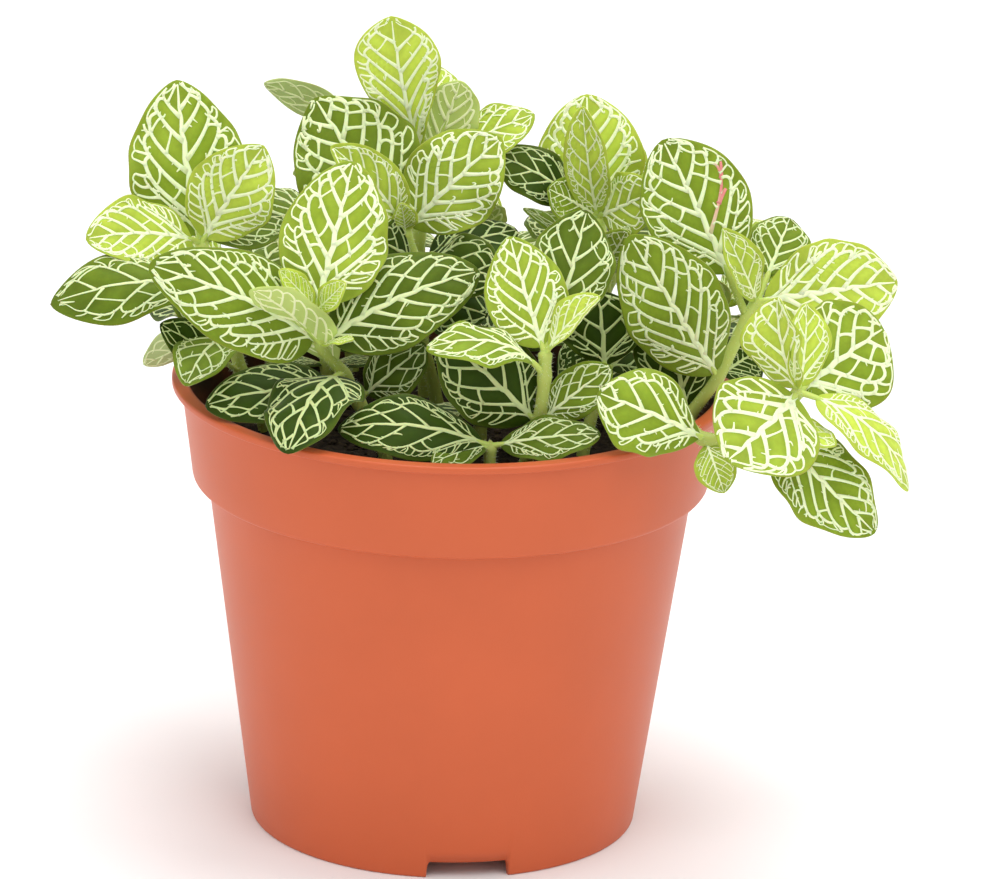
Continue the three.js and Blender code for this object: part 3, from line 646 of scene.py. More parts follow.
def add_blade(build, leaf, index, total):
    """The blade as two faces that meet at the edge: a grid of places along and across, with
    the lower face turned over and joined to the upper one all round. Rows crowd together at
    foot and tip by a cosine, and columns at the edges by a sine."""
    rows = int(np.clip(leaf.blade / BLADE_STEP, 16, 54))
    columns = 2 * int(np.clip(leaf.width / 2 / SIDE_STEP, 5, 17)) + 1
    line = np.linspace(0, 1, rows)
    along = 0.35 * line + 0.65 * (0.5 - 0.5 * np.cos(np.pi * line))
    spread = np.linspace(-1, 1, columns)
    inside = 0.98 * (0.7 * spread + 0.3 * np.sin(spread * np.pi / 2))
    aside = np.concatenate([[-1], inside, [1]])
    columns += 2
    share, across = np.meshgrid(along, aside, indexing="ij")
    middle, normal = leaf.surface(share, across)
    half = leaf.half_thickness(share, across)
    rim = np.zeros(share.shape, bool)
    rim[[0, -1], :] = True
    rim[:, [0, -1]] = True
    half[rim] = 0
    inner = ~rim.ravel()
    upper = (middle + normal * half[..., None]).reshape(-1, 3)
    lower = (middle - normal * half[..., None]).reshape(-1, 3)[inner]
    number = np.arange(rows * columns)
    number[inner] = rows * columns + np.arange(inner.sum())
    beside = across * leaf.half_width(share) / (leaf.width / 2) * 0.5 + 0.5
    flat = np.stack([beside.ravel(), share.ravel()], axis=-1)
    # Mound heights, which the upper face's material turns into painted shade in the valleys between
    # the veins.
    mound = leaf.pillow(share, across).ravel()
    edge = np.abs(across).ravel()
    quads, _ = grid_faces(rows, columns)
    start = build.add(
        np.concatenate([upper, lower]), [(quads, cell(index, total, flat[quads]))], UPPER,
        age=leaf.age, edge=np.concatenate([edge, edge[inner]]),
        mound=np.concatenate([mound, mound[inner]]),
    )
    turned_over = quads[:, ::-1]
    under = cell(index + 1, total, flat[turned_over])
    build.cover(start, [(number[turned_over], under)], UNDER)


# ---------- Veins ----------

WAY = np.linspace(0, 1, 13)  # the points along a vein, from 0 where it starts to 1

FOOT_VEIN = 0.015  # share at which the thin vein along the foot's edge leaves the midrib
LAST_JOIN = 0.96  # share of the midrib that the highest side veins head for
MIDRIB_END = 0.97  # share at which the midrib ends
OUTERMOST = (0.7, 0.8)  # range of the reach at which a side vein is farthest out
TURNED_IN = (0.56, 0.66)  # range of the reach at which it meets the next one
SPUR_GAPS = (1.0, 2.4)  # narrowest and widest mean distance between two spurs
FORKED = 0.25  # share of the spurs that fork
ARCHED = 0.7  # share of the near enough spurs that an arch joins
VEIN_TOP = 0.72  # width of a vein's flat top as a share of its foot's
VEIN_SUNK = 0.09  # how deep the foot of a vein lies under the blade's face
FULL_HEIGHT_WIDTH = 0.5  # a vein this wide or wider has its full height
ZIGZAG = 0.022  # share of the half width by which the midrib swings from vein to vein


class VeinNet:
    """The veins of one leaf, as rows: kind, shares, reaches on its side, and widths."""

    def __init__(self, leaf, rng, look):
        self.leaf = leaf
        self.rng = rng
        self.rows = []
        slim = 0.55 if leaf.opening else 1 - 0.2 * leaf.age
        self.bold = slim * look.side_vein * leaf.width
        self.fine = slim * look.fine_vein * leaf.width
        self.green_edge = look.green_edge / MM * (0.8 + 0.5 * leaf.age)
        for side, origins in zip((-1, 1), leaf.origins):
            self.one_side(side, origins)

    def add(self, kind, side, share, across, width, near=0.5, far=0.0):
        """Keeps a vein. It is wider where it leaves another, and where it joins the next, by
        shares near and far that fall off exponentially."""
        flared = width * (1 + near * np.exp(-9 * WAY) + far * np.exp(-9 * (1 - WAY)))
        self.rows.append((kind, np.clip(share, 0.002, 0.99), side * across, flared))

    def line(self, kind, side, start, end, width, bend=(0.0, 0.0), near=0.5, far=0.0):
        """A vein between two places, bent aside in the middle by a half sine."""
        arch = np.sin(np.pi * WAY)
        share = start[0] + (end[0] - start[0]) * WAY + bend[0] * arch
        across = start[1] + (end[1] - start[1]) * WAY + bend[1] * arch
        self.add(kind, side, share, across, width, near, far)

    def one_side(self, side, origins):
        """Side veins climb away from the midrib as a quarter sine, run up beside the edge,
        and turn in by a square to meet the next one. The last goes in to the midrib's tip.
        Outside these loops short spurs reach to the border."""
        rng, leaf = self.rng, self.leaf
        starts = np.concatenate([[FOOT_VEIN], origins, [LAST_JOIN - 0.01 * leaf.age]])
        outside = []
        for number, origin in enumerate(starts[:-1]):
            gap = starts[number + 1] - origin
            reach = rng.uniform(*OUTERMOST)
            turn_in = rng.uniform(*TURNED_IN)
            climbing = reach * np.sin(np.pi / 2 * np.clip(WAY / 0.72, 0, 1))
            across = climbing + (turn_in - reach) * np.clip((WAY - 0.7) / 0.3, 0, 1) ** 2
            later = np.clip((WAY - 0.4) / 0.6, 0, 1) ** 1.6
            wander = 0.008 * np.sin(2 * np.pi * (1.6 * WAY + rng.random())) * WAY
            last = number == len(starts) - 2
            if last:
                across = climbing * (1 - 0.65 * later)
            share = leaf.height(origin + gap * later, across) + wander
            thin = 0.55 if number == 0 else 1 - 0.3 * origin
            width = self.bold * thin * (1 - (0.7 if last else 0.32) * WAY)
            self.add("side", side, share, across, width, 0.5, 0.3)
            outside.append((share, across))
            if number > 0:
                self.inner_links(side, origin, starts[number + 1], turn_in)
        self.basal_links(side, starts)
        self.spurs(side, outside)

    def basal_links(self, side, starts):
        """Links from the lowest side vein across to the thin one along the foot's edge."""
        rng, leaf = self.rng, self.leaf
        for reach in (0.32, 0.56):
            reach = np.array(reach + rng.uniform(-0.06, 0.06))
            start = (leaf.height(starts[1], reach), reach)
            end = (leaf.height(starts[0] + 0.02, reach + 0.12), reach + 0.14)
            self.line("link", side, start, end, self.fine * 0.9, (-0.01, 0), 0.8, 0.6)

    def inner_links(self, side, origin, following, turn_in):
        """Links between two side veins, which lean outwards on their way down. On an old
        leaf most are bold and whole, and on a young one most stop short as a thorn. One more
        short tick stands on each side vein."""
        rng, leaf = self.rng, self.leaf
        wide = leaf.half_width(leaf.height(origin, np.array(0.5))) * turn_in
        count = int(np.clip(round(wide / 4.0 - 0.1 * leaf.age), 1, 3))
        for order in range(count):
            inner = (turn_in - 0.06) * (order + rng.uniform(0.35, 0.85)) / count
            share = leaf.height(following, np.array(inner))
            outer = inner + rng.uniform(0.1, 0.28)
            end = (min(leaf.height(origin, np.array(outer)), share), outer)
            start = (share, inner)
            if rng.random() < 0.5:
                start, end = end, start
            whole = rng.random() < 0.4 + 0.5 * leaf.age
            stop = 1.0 if whole else rng.uniform(0.25, 0.42)
            end = tuple(a + (b - a) * stop for a, b in zip(start, end))
            thick = self.fine * (0.8 + 0.5 * leaf.age) * rng.uniform(0.75, 1.15)
            width = thick * (1 - (0.2 if whole else 0.55) * WAY)
            bend = rng.uniform(-0.035, 0.035, 2)
            self.line("link", side, start, end, width, bend, 1.0, 0.9 if whole else 0.0)
        reach = rng.uniform(0.15, 0.55)
        upward = rng.choice((-1, 1))
        share = leaf.height(following if upward < 0 else origin, np.array(reach))
        end = (share + upward * rng.uniform(0.015, 0.035), reach + rng.uniform(0.0, 0.1))
        self.line("tick", side, (share, reach), end, self.fine * (0.8 - 0.55 * WAY), near=0.9)

    def spurs(self, side, outside):
        """Spurs at uneven distances from the outermost vein to the border, which lean more
        and more towards the tip. Some fork, and some are joined at their ends by short
        arches, which are half sines. The outermost vein at a share is the farthest out of the
        side veins there."""
        rng, leaf = self.rng, self.leaf
        spacing = np.clip((0.08 + 0.03 * leaf.age) * leaf.width, *SPUR_GAPS) / leaf.blade
        grid = np.linspace(0, 1, 200)
        envelope = np.zeros_like(grid)
        for share, across in outside:
            order = np.argsort(share)
            level = np.interp(grid, share[order], across[order], left=0, right=0)
            envelope = np.maximum(envelope, level)
        ends = []
        share = outside[0][0][2]
        while share < 0.94 - 0.03 * leaf.age:
            foot = np.interp(share, grid, envelope) - 0.015
            border = 1 - self.green_edge / leaf.half_width(min(share + 0.04, 1.0))
            tip = border - rng.uniform(0, 0.07)
            lean = spacing * (rng.uniform(0.1, 0.7) + 1.2 * max(0, share - 0.4))
            if tip - foot > 0.05:
                width = self.fine * rng.uniform(0.95, 1.3) * (1 - 0.3 * WAY)
                bend = (rng.uniform(-0.3, 0.0) * spacing, 0)
                self.line("spur", side, (share, foot), (share + lean, tip), width, bend, 1.0)
                ends.append((share + lean, tip))
                if rng.random() < FORKED:
                    way = rng.choice((-1, 1)) * rng.uniform(0.35, 0.55) * spacing
                    fork = (share + 0.4 * lean, foot + 0.4 * (tip - foot))
                    width = self.fine * (0.75 - 0.4 * WAY)
                    self.line("tick", side, fork, (share + lean + way, tip - 0.01), width)
            share += spacing * rng.uniform(0.7, 1.35)
        for start, end in zip(ends, ends[1:]):
            if end[0] - start[0] < 1.9 * spacing and rng.random() < ARCHED:
                width = self.fine * rng.uniform(0.6, 0.8) * (1 - 0.2 * np.sin(np.pi * WAY))
                self.line("rim", side, start, end, width, (0, 0.03), 0.0)


def add_ribs(build, leaf, veins, height, facing, slot, bake):
    """Veins as slim flat-topped ridges, each with a top edge to either side that stands off
    the face of the blade, and two feet at its full width that lie under the face. A thin vein
    is lower, in step with its width. Tint is 0 for a cream vein, 1 for one that is pink in
    its middle and pale at its ends, and 2 for one that is pink all along."""
    share, across, width, tint = veins
    middle, normal = leaf.surface(share, across)
    half = leaf.half_thickness(share, across)
    normal = normal * facing
    base = middle + normal * half[..., None]
    tangent = unit(np.gradient(base, axis=1))
    beside = unit(np.cross(tangent, normal)) * (width / 2)[..., None]
    top = normal * (height * np.clip(width / FULL_HEIGHT_WIDTH, 0.65, 1.0))[..., None]
    sunk = normal * VEIN_SUNK
    corners = [
        base - beside - sunk, base - VEIN_TOP * beside + top, base + VEIN_TOP * beside + top,
        base + beside - sunk,
    ]
    points = np.stack(corners, axis=2)
    count, steps = width.shape
    ring = (np.arange(count)[:, None] * steps + np.arange(steps)) * 4
    quads = []
    for first in range(4):
        second = (first + 1) % 4
        a, b = ring + first, ring + second
        quads.append(np.stack([a[:, :-1], b[:, :-1], b[:, 1:], a[:, 1:]], -1).reshape(-1, 4))
    start, stop = ring[:, :1], ring[:, -1:]
    caps = np.concatenate([start + [0, 3, 2, 1], stop + [0, 1, 2, 3]])
    # Each ridge has a small box of its own in the map that textures are baked to.
    first, total, index, cells = bake
    boxes = math.ceil(math.sqrt(total))
    number = np.repeat(first + np.arange(count), steps * 4)
    corner = np.stack([number % boxes, number // boxes], -1)
    along = np.tile(np.repeat(np.linspace(0, 1, steps), 4), count)
    which = np.tile([0.0, 0.3, 0.7, 1.0], count * steps)
    places = (corner + 0.12 + 0.76 * np.stack([which, along], -1)) / boxes
    faces = np.concatenate([*quads, caps])
    way = np.linspace(0, 1, steps)
    rosy = np.clip(np.minimum(0.3 + 1.8 * way, 4.1 - 4.8 * way), 0, 1)
    pink = np.maximum(tint[:, None] - 1, np.outer(np.minimum(tint, 1), rosy))
    pink = np.repeat(pink, 4, axis=1).ravel()
    fade = np.tile([1.0, 0.0, 0.0, 1.0], count * steps)
    block = (faces, cell(index, cells, places[faces]))
    build.add(points.reshape(-1, 3), [block], slot, age=leaf.age, pink=pink, fade=fade)


def blush(net):
    """Makes a leaf's second full side vein to the right a little thinner, gives it two forks,
    and says how pink each vein is: 1 for that one, whose ends stay pale, 2 for its forks, and
    0 for the rest. Each fork is a point of the vein, and how far up and out it goes."""
    sides = [row for row in net.rows if row[0] == "side" and row[2][-1] > 0]
    _, share, across, width = sides[2]
    width *= 0.85
    for at, long, out in ((3, 0.07, 0.24), (6, 0.1, 0.2)):
        start = (share[at], across[at])
        end = (share[at] + long, across[at] + out)
        net.line("blush", 1, start, end, width[at] * (1.35 - 0.4 * WAY))
    return np.array([2.0 * (row[0] == "blush") + (row[1] is share) for row in net.rows])


def add_veins(build, leaf, rng, look, pink, index, cells):
    """The net on the upper face, and side veins, links and midrib on the lower one. The
    midrib zigzags from side vein to side vein, and thins with a power of its share."""
    net = VeinNet(leaf, rng, look)
    tint = blush(net) if pink else np.zeros(len(net.rows))
    kinds = np.array([row[0] for row in net.rows])
    share, across, width = (np.array([row[k] for row in net.rows]) for k in (1, 2, 3))
    total = len(kinds) + 1

    def chosen(which, stride, scale=1.0):
        """Some of the veins, with only every second point if stride is 2, in other widths."""
        return (
            share[which, ::stride], across[which, ::stride], width[which, ::stride] * scale,
            tint[which],
        )

    bold = kinds == "side"
    above = look.vein_height / MM
    first = 0
    for which, stride in ((bold, 1), (~bold, 2)):
        bake = (first, total, index, cells)
        add_ribs(build, leaf, chosen(which, stride), above, 1, VEIN, bake)
        first += which.sum()
    line = np.linspace(0.0, MIDRIB_END, 40)[None, :]
    joints = np.sort(np.concatenate([[0], *leaf.origins, [1]]))
    bends = ZIGZAG * np.where(np.arange(len(joints)) % 2, 1, -1)
    zigzag = np.interp(line, joints, bends)
    trunk = look.midrib * leaf.width * (1.0 - 0.85 * line**1.8)
    midrib = (line, zigzag, trunk, np.zeros(1))
    add_ribs(build, leaf, midrib, 1.2 * above, 1, VEIN, (first, total, index, cells))
    below = look.under_vein_height / MM
    first = 0
    for which, stride, scale in ((bold, 1, 1.1), (kinds == "link", 2, 0.9)):
        bake = (first, total, index + 1, cells)
        add_ribs(build, leaf, chosen(which, stride, scale), below, -1, UNDER_VEIN, bake)
        first += which.sum()
    bake = (first, total, index + 1, cells)
    add_ribs(build, leaf, midrib, 1.2 * below, -1, UNDER_VEIN, bake)


# ---------- Stalks and stems ----------

BARE_POINTS = 7  # points along a stalk, from the stem to its blade
RIDGE_END = 0.93  # share of a leaf's length at which the ridge under its blade ends
STALK_SIDES = 10
STEM_SIDES = 14
SPAN_STEPS = 9  # steps along a stem from one of its points to the next
TAPER = 0.22  # share of its radius that a stem loses on its way up
SWELLING = 0.32  # how much wider its radius is at a pair of leaves
SWELLING_REACH = 1.7  # how far that goes along the stem
GREENING = 45.0  # height over which a stem turns from its foot's colour to the fresh one


def add_stalk(build, leaf, look, index, cells):
    """The leaf's stalk, which goes on under the blade as a ridge that thins to the tip with
    a power of its share, and sinks into the blade within its first twelfth."""
    share = np.concatenate([
        np.linspace(0, leaf.stalk, BARE_POINTS), np.linspace(leaf.stalk, RIDGE_END, 22)[1:]
    ])
    middle, level, _ = leaf.frame(share)
    on_blade = np.clip((share - leaf.stalk) / (1 - leaf.stalk), 0, 1)
    full = min(look.stalk_radius / MM, 0.5 + leaf.width * 0.022)
    radius = full * (1 - 0.25 * share / leaf.stalk).clip(0.75) * (1 - 0.85 * on_blade**0.7)
    sunk = np.clip(on_blade * 12, 0, 1) * 0.75 * radius
    path = middle - level * sunk[:, None]
    points, blocks = tube(path, radius, STALK_SIDES, level, index, cells)
    build.add(points, blocks, STALK, age=0.4 * leaf.age)
    return path, radius


def tube(path, radius, sides, reference, index, cells):
    """Points and blocks of a closed tube along a path, with a blunt point at each end. Each
    ring is a circle square to the path, and the reference directions keep it from turning."""
    tangent = unit(np.gradient(path, axis=0))
    one = unit(np.cross(tangent, reference))
    two = np.cross(tangent, one)
    turn = 2 * np.pi * np.arange(sides) / sides
    ring = one[:, None] * np.cos(turn)[:, None] + two[:, None] * np.sin(turn)[:, None]
    rings = path[:, None] + ring * radius[:, None, None]
    below = path[0] - tangent[0] * radius[0] * 0.5
    above = path[-1] + tangent[-1] * radius[-1]
    rows = len(path)
    quads, places = grid_faces(rows, sides, closed=True)
    last = (rows - 1) * sides + np.arange(sides)
    foot = fan_faces(np.arange(sides), rows * sides, True)
    head = fan_faces(last, rows * sides + 1, False)
    blocks = [(quads, cell(index, cells, places))]
    blocks += [(faces, cell(index, cells, corners)) for faces, corners in (foot, head)]
    return np.concatenate([rings.reshape(-1, 3), [below, above]]), blocks


def smooth_path(points, steps):
    """A centripetal Catmull-Rom curve through the points: each span's knots are as far apart
    as the square root of its length, and its end directions come from its neighbours."""
    points = np.array(points, float)
    ends = 2 * points[[0, -1]] - points[[1, -2]]
    guide = np.concatenate([ends[:1], points, ends[1:]])
    knots = np.sqrt(np.linalg.norm(np.diff(guide, axis=0), axis=1))
    share = np.linspace(0, 1, steps, endpoint=False)[:, None]
    spans = []
    for k in range(len(points) - 1):
        before, here, after = knots[k:k + 3]
        step = guide[k + 2] - guide[k + 1]
        arriving = (guide[k + 1] - guide[k]) / before - (guide[k + 2] - guide[k]) / (before + here)
        leaving = (guide[k + 3] - guide[k + 2]) / after - (guide[k + 3] - guide[k + 1]) / (
            here + after)
        start = step + arriving * here
        stop = step + leaving * here
        t2, t3 = share**2, share**3
        spans.append(
            (2 * t3 - 3 * t2 + 1) * guide[k + 1] + (t3 - 2 * t2 + share) * start
            + (3 * t2 - 2 * t3) * guide[k + 2] + (t3 - t2) * stop
        )
    return np.concatenate([*spans, points[-1:]])


def add_hairs(build, path, radius, count, look, rng, age, index, cells):
    """Fine hairs, each a slim three-sided cone. A hair stands off a stalk at a random turn, and
    leans along it by up to half of how far it stands out."""
    at = rng.uniform(0, len(path) - 1.001, count)
    low = at.astype(int)
    rest = (at - low)[:, None]
    middle = path[low] * (1 - rest) + path[low + 1] * rest
    tangent = unit(path[low + 1] - path[low])
    out = rng.normal(size=(count, 3))
    out = unit(out - (out * tangent).sum(-1, keepdims=True) * tangent)
    foot = middle + out * (radius[low] * 0.9)[:, None]
    lean = unit(out + tangent * rng.uniform(-0.5, 0.5, (count, 1)))
    length = look.hair / MM * rng.uniform(0.35, 1, (count, 1))
    beside = np.cross(tangent, out)
    wide = look.hair_radius / MM
    turns = (0, 2.1, 4.2)
    corners = [foot + wide * (math.cos(a) * tangent + math.sin(a) * beside) for a in turns]
    points = np.stack([*corners, foot + lean * (length + wide)], 1).reshape(-1, 3)
    # Seen from outside, tangent, beside and outwards are a right-handed set.
    sides = np.array([[0, 1, 3], [1, 2, 3], [2, 0, 3], [0, 2, 1]])
    faces = (np.arange(count)[:, None, None] * 4 + sides).reshape(-1, 3)
    places = cell(index, cells, np.broadcast_to(TRIANGLE, (len(faces), 3, 2)))
    build.add(points, [(faces, places)], HAIR, age=age)


def add_stem(build, points, look, rng, cells):
    """A stem through its points. Its radius falls evenly, with a bell-shaped swelling at
    every pair of leaves."""
    root = (points[0][0], points[0][1], SOIL_TOP - ROOT_DEPTH)
    path = smooth_path([root, *points], SPAN_STEPS)
    share = np.linspace(0, 1, len(path))
    radius = look.radius / MM * (1 - TAPER * share)
    for point in points[1:]:
        away = np.linalg.norm(path - np.array(point), axis=1)
        radius = radius + SWELLING * np.exp(-((away / SWELLING_REACH) ** 2))
    points, blocks = tube(path, radius, STEM_SIDES, np.array([0.0, 1.0, 0.0]), 0, cells)
    height = np.clip((points[:, 2] - SURFACE) / GREENING, 0, 1)
    build.add(points, blocks, STALK, age=1 - height)
    length = np.linalg.norm(np.diff(path, axis=0), axis=1).sum()
    above = path[:, 2] > SURFACE - 1
    count = int(look.hairs * length / 10)
    add_hairs(build, path[above], radius[above], count, look, rng, 0.3, 1, cells)


# ---------- Pot and soil ----------

BED, CRUMB = range(2)  # the soil's materials, in the order that soil_materials() gives
NET = 64  # random heights along one side of the square net of noise
CLOD = 7.0  # width of the largest clods
CLOD_FALL = 1.7  # each finer size of clods is this many times lower
EDGE_DIP = 0.5  # the soil sinks this much where it meets the wall
DIP_START = 0.93  # share of the soil's radius at which it starts to sink
SHADES = 9  # shades of crumb, from damp to dry


def rounded(corners, steps=4):
    """A profile from (radius, height, rounding) corners. Each rounded corner is a short
    parabola that starts and ends that far from the corner along its two sides."""
    line = []
    for k, (radius, height, rounding) in enumerate(corners):
        here = np.array([radius, height])
        if rounding == 0:
            line.append(here)
            continue
        before = np.array(corners[k - 1][:2])
        after = np.array(corners[k + 1][:2])
        start = here + unit(before - here) * rounding
        stop = here + unit(after - here) * rounding
        for t in np.linspace(0, 1, steps + 1):
            line.append((1 - t) ** 2 * start + 2 * t * (1 - t) * here + t**2 * stop)
    return np.array(line)


def divided(profile, longest):
    """The profile with points added, so that no side of it is longer than that."""
    spans = []
    for start, stop in zip(profile, profile[1:]):
        count = max(1, math.ceil(np.linalg.norm(stop - start) / longest))
        spans.append(start + (stop - start) * (np.arange(count) / count)[:, None])
    return np.concatenate([*spans, profile[-1:]])


def pot_profile(look):
    """Up the outside from the middle of the base plate, over the lip, and back down inside."""
    wall, lip = look.wall / MM, look.lip / MM
    lip_foot = POT_HEIGHT - lip
    foot_inside = FOOT_RADIUS - wall
    return rounded([
        (0, PLATE, 0),
        (foot_inside - 0.3, PLATE, 0.8),
        (foot_inside - 0.3, 0, 0.35),
        (FOOT_RADIUS, 0, 0.65),
        (BODY_TOP_RADIUS, BAND_FOOT - 0.5, 0.5),
        (BAND_FOOT_RADIUS, BAND_FOOT - 0.1, 0.9),
        (BAND_TOP_RADIUS, lip_foot, 0.5),
        (LIP_RADIUS, lip_foot, 0.5),
        (LIP_RADIUS, POT_HEIGHT, 0.6),
        (BAND_TOP_RADIUS - wall, POT_HEIGHT, 0.7),
        (BAND_FOOT_RADIUS - wall, BAND_FOOT + 1.6, 1.2),
        (BODY_TOP_RADIUS - wall, BAND_FOOT - 0.8, 1.2),
        (foot_inside, PLATE + wall, 1.5),
        (0, PLATE + wall, 0),
    ])


def turned(build, profile, angles, slot, index, cells, shape=None, middle=(0, 0, 0)):
    """A profile turned about an upright axis, closed by a pole at each end: a point is its
    radius times the cosine and sine of each turn, at its own height. Shape may move the
    points of its rings."""
    rings = profile[1:-1]
    radius = rings[:, 0][:, None] * np.ones(len(angles))
    height = rings[:, 1][:, None] * np.ones(len(angles))
    points = np.stack([radius * np.cos(angles), radius * np.sin(angles), height], -1)
    if shape is not None:
        points = shape(points)
    rows, sides = len(rings), len(angles)
    poles = np.array([[0, 0, profile[0, 1]], [0, 0, profile[-1, 1]]])
    last = (rows - 1) * sides + np.arange(sides)
    parts = (
        grid_faces(rows, sides, closed=True),
        fan_faces(np.arange(sides), rows * sides, True),
        fan_faces(last, rows * sides + 1, False),
    )
    blocks = [(faces, cell(index, cells, corners)) for faces, corners in parts]
    build.add(np.concatenate([points.reshape(-1, 3), poles]) + middle, blocks, slot)


def notched(points):
    """Lifts the foot ring over each notch, so that water can run out from under the pot. The
    notch's top comes down at each side as a quarter of an ellipse."""
    angle = np.arctan2(points[..., 1], points[..., 0])
    out = np.hypot(points[..., 0], points[..., 1])
    near = out > FOOT_RADIUS - FOOT_RING
    for k in range(NOTCHES):
        middle = math.radians(NOTCH_FIRST + 360 / NOTCHES * k)
        aside = np.abs((angle - middle + np.pi) % (2 * np.pi) - np.pi) * FOOT_RADIUS
        rise = np.clip((NOTCH_WIDTH / 2 - aside) / NOTCH_SIDE, 0, 1)
        top = NOTCH_HEIGHT * np.sqrt(1 - (1 - rise) ** 2)
        lifted = np.maximum(points[..., 2], top)
        points[..., 2] = np.where(near, lifted, points[..., 2])
    return points


def pot_angles(sides):
    """Even turns, with a few more close together at both sides of each notch."""
    angles = [np.arange(sides) * 2 * np.pi / sides]
    close = np.linspace(-0.2, 1.1, 8)
    for k in range(NOTCHES):
        middle = math.radians(NOTCH_FIRST + 360 / NOTCHES * k)
        for side in (-1, 1):
            angles.append(middle + side * (NOTCH_WIDTH / 2 - close) / FOOT_RADIUS)
    merged = np.sort(np.concatenate(angles) % (2 * np.pi))
    return merged[np.append(np.diff(merged) > 5e-4, True)]


def noise(x, y, size, rng):
    """Smooth noise from 0 to 1: random heights on a square net, blended by 3t^2 - 2t^3."""
    net = rng.random((NET, NET))
    x, y = x / size + NET / 2, y / size + NET / 2
    i, j = np.floor(x).astype(int), np.floor(y).astype(int)
    u, v = x - i, y - j
    u, v = u * u * (3 - 2 * u), v * v * (3 - 2 * v)
    i, j = i % (NET - 1), j % (NET - 1)
    low = net[i, j] * (1 - u) + net[i + 1, j] * u
    high = net[i, j + 1] * (1 - u) + net[i + 1, j + 1] * u
    return low * (1 - v) + high * v


def soil_height(x, y, look):
    """A shallow crown, which is a parabola, with clods: four sizes of noise, each half as wide
    as the last and lower, and a dip by the wall."""
    rng = np.random.default_rng(CLOD_SEED)
    out = np.hypot(x, y) / SOIL_RADIUS
    crown = SOIL_TOP + SOIL_CROWN * np.clip(1 - out**2, 0, 1)
    rough = 0
    for octave in range(4):
        clods = noise(x, y, CLOD / 2**octave, rng) - 0.5
        rough = rough + clods / CLOD_FALL**octave
    dip = EDGE_DIP * np.clip(out - DIP_START, 0, 1) / (1 - DIP_START)
    return crown + look.roughness / MM * rough - dip


def add_crumbs(build, look, rng, index, cells):
    """Loose crumbs: small eight-sided lumps, each with its six corners at random distances,
    turned at random and a little sunk in the soil."""
    count = look.crumbs
    turn = rng.uniform(0, 2 * np.pi, count)
    out = (SOIL_RADIUS - 1.2) * np.sqrt(rng.random(count))
    x, y = out * np.cos(turn), out * np.sin(turn)
    size = look.crumb / MM / 2 * rng.uniform(0.12, 1, count) ** 1.8
    corner = np.array([
        [1, 0, 0], [0, 1, 0], [-1, 0, 0], [0, -1, 0], [0, 0, 1], [0, 0, -1],
    ])
    faces = np.array([
        [0, 1, 4], [1, 2, 4], [2, 3, 4], [3, 0, 4], [1, 0, 5], [2, 1, 5], [3, 2, 5], [0, 3, 5],
    ])
    stretch = rng.uniform(0.6, 1.25, (count, len(corner), 1))
    spin = rng.uniform(0, 2 * np.pi, count)
    c, s = np.cos(spin)[:, None], np.sin(spin)[:, None]
    shape = corner[None] * stretch
    shape = np.stack([
        shape[..., 0] * c - shape[..., 1] * s, shape[..., 0] * s + shape[..., 1] * c,
        shape[..., 2] * 0.75,
    ], -1)
    middle = np.stack([x, y, soil_height(x, y, look) + 0.25 * size], -1)
    points = middle[:, None] + shape * size[:, None, None]
    blocks = (np.arange(count)[:, None, None] * len(corner) + faces).reshape(-1, 3)
    shade = rng.integers(0, SHADES, count)
    # Crumbs of one shade share a box in the map that textures are baked to, three to a row.
    box = np.repeat(shade, len(faces))[:, None, None]
    places = (np.concatenate([box % 3, box // 3], -1) + TRIANGLE) / 3
    build.add(
        points.reshape(-1, 3), [(blocks, cell(index, cells, places))], CRUMB,
        dry=np.repeat(shade / (SHADES - 1), len(corner)),
    )


# ---------- Materials ----------

LIGHT_DEPTH = 0.0008  # metres that light goes into a leaf or a stem


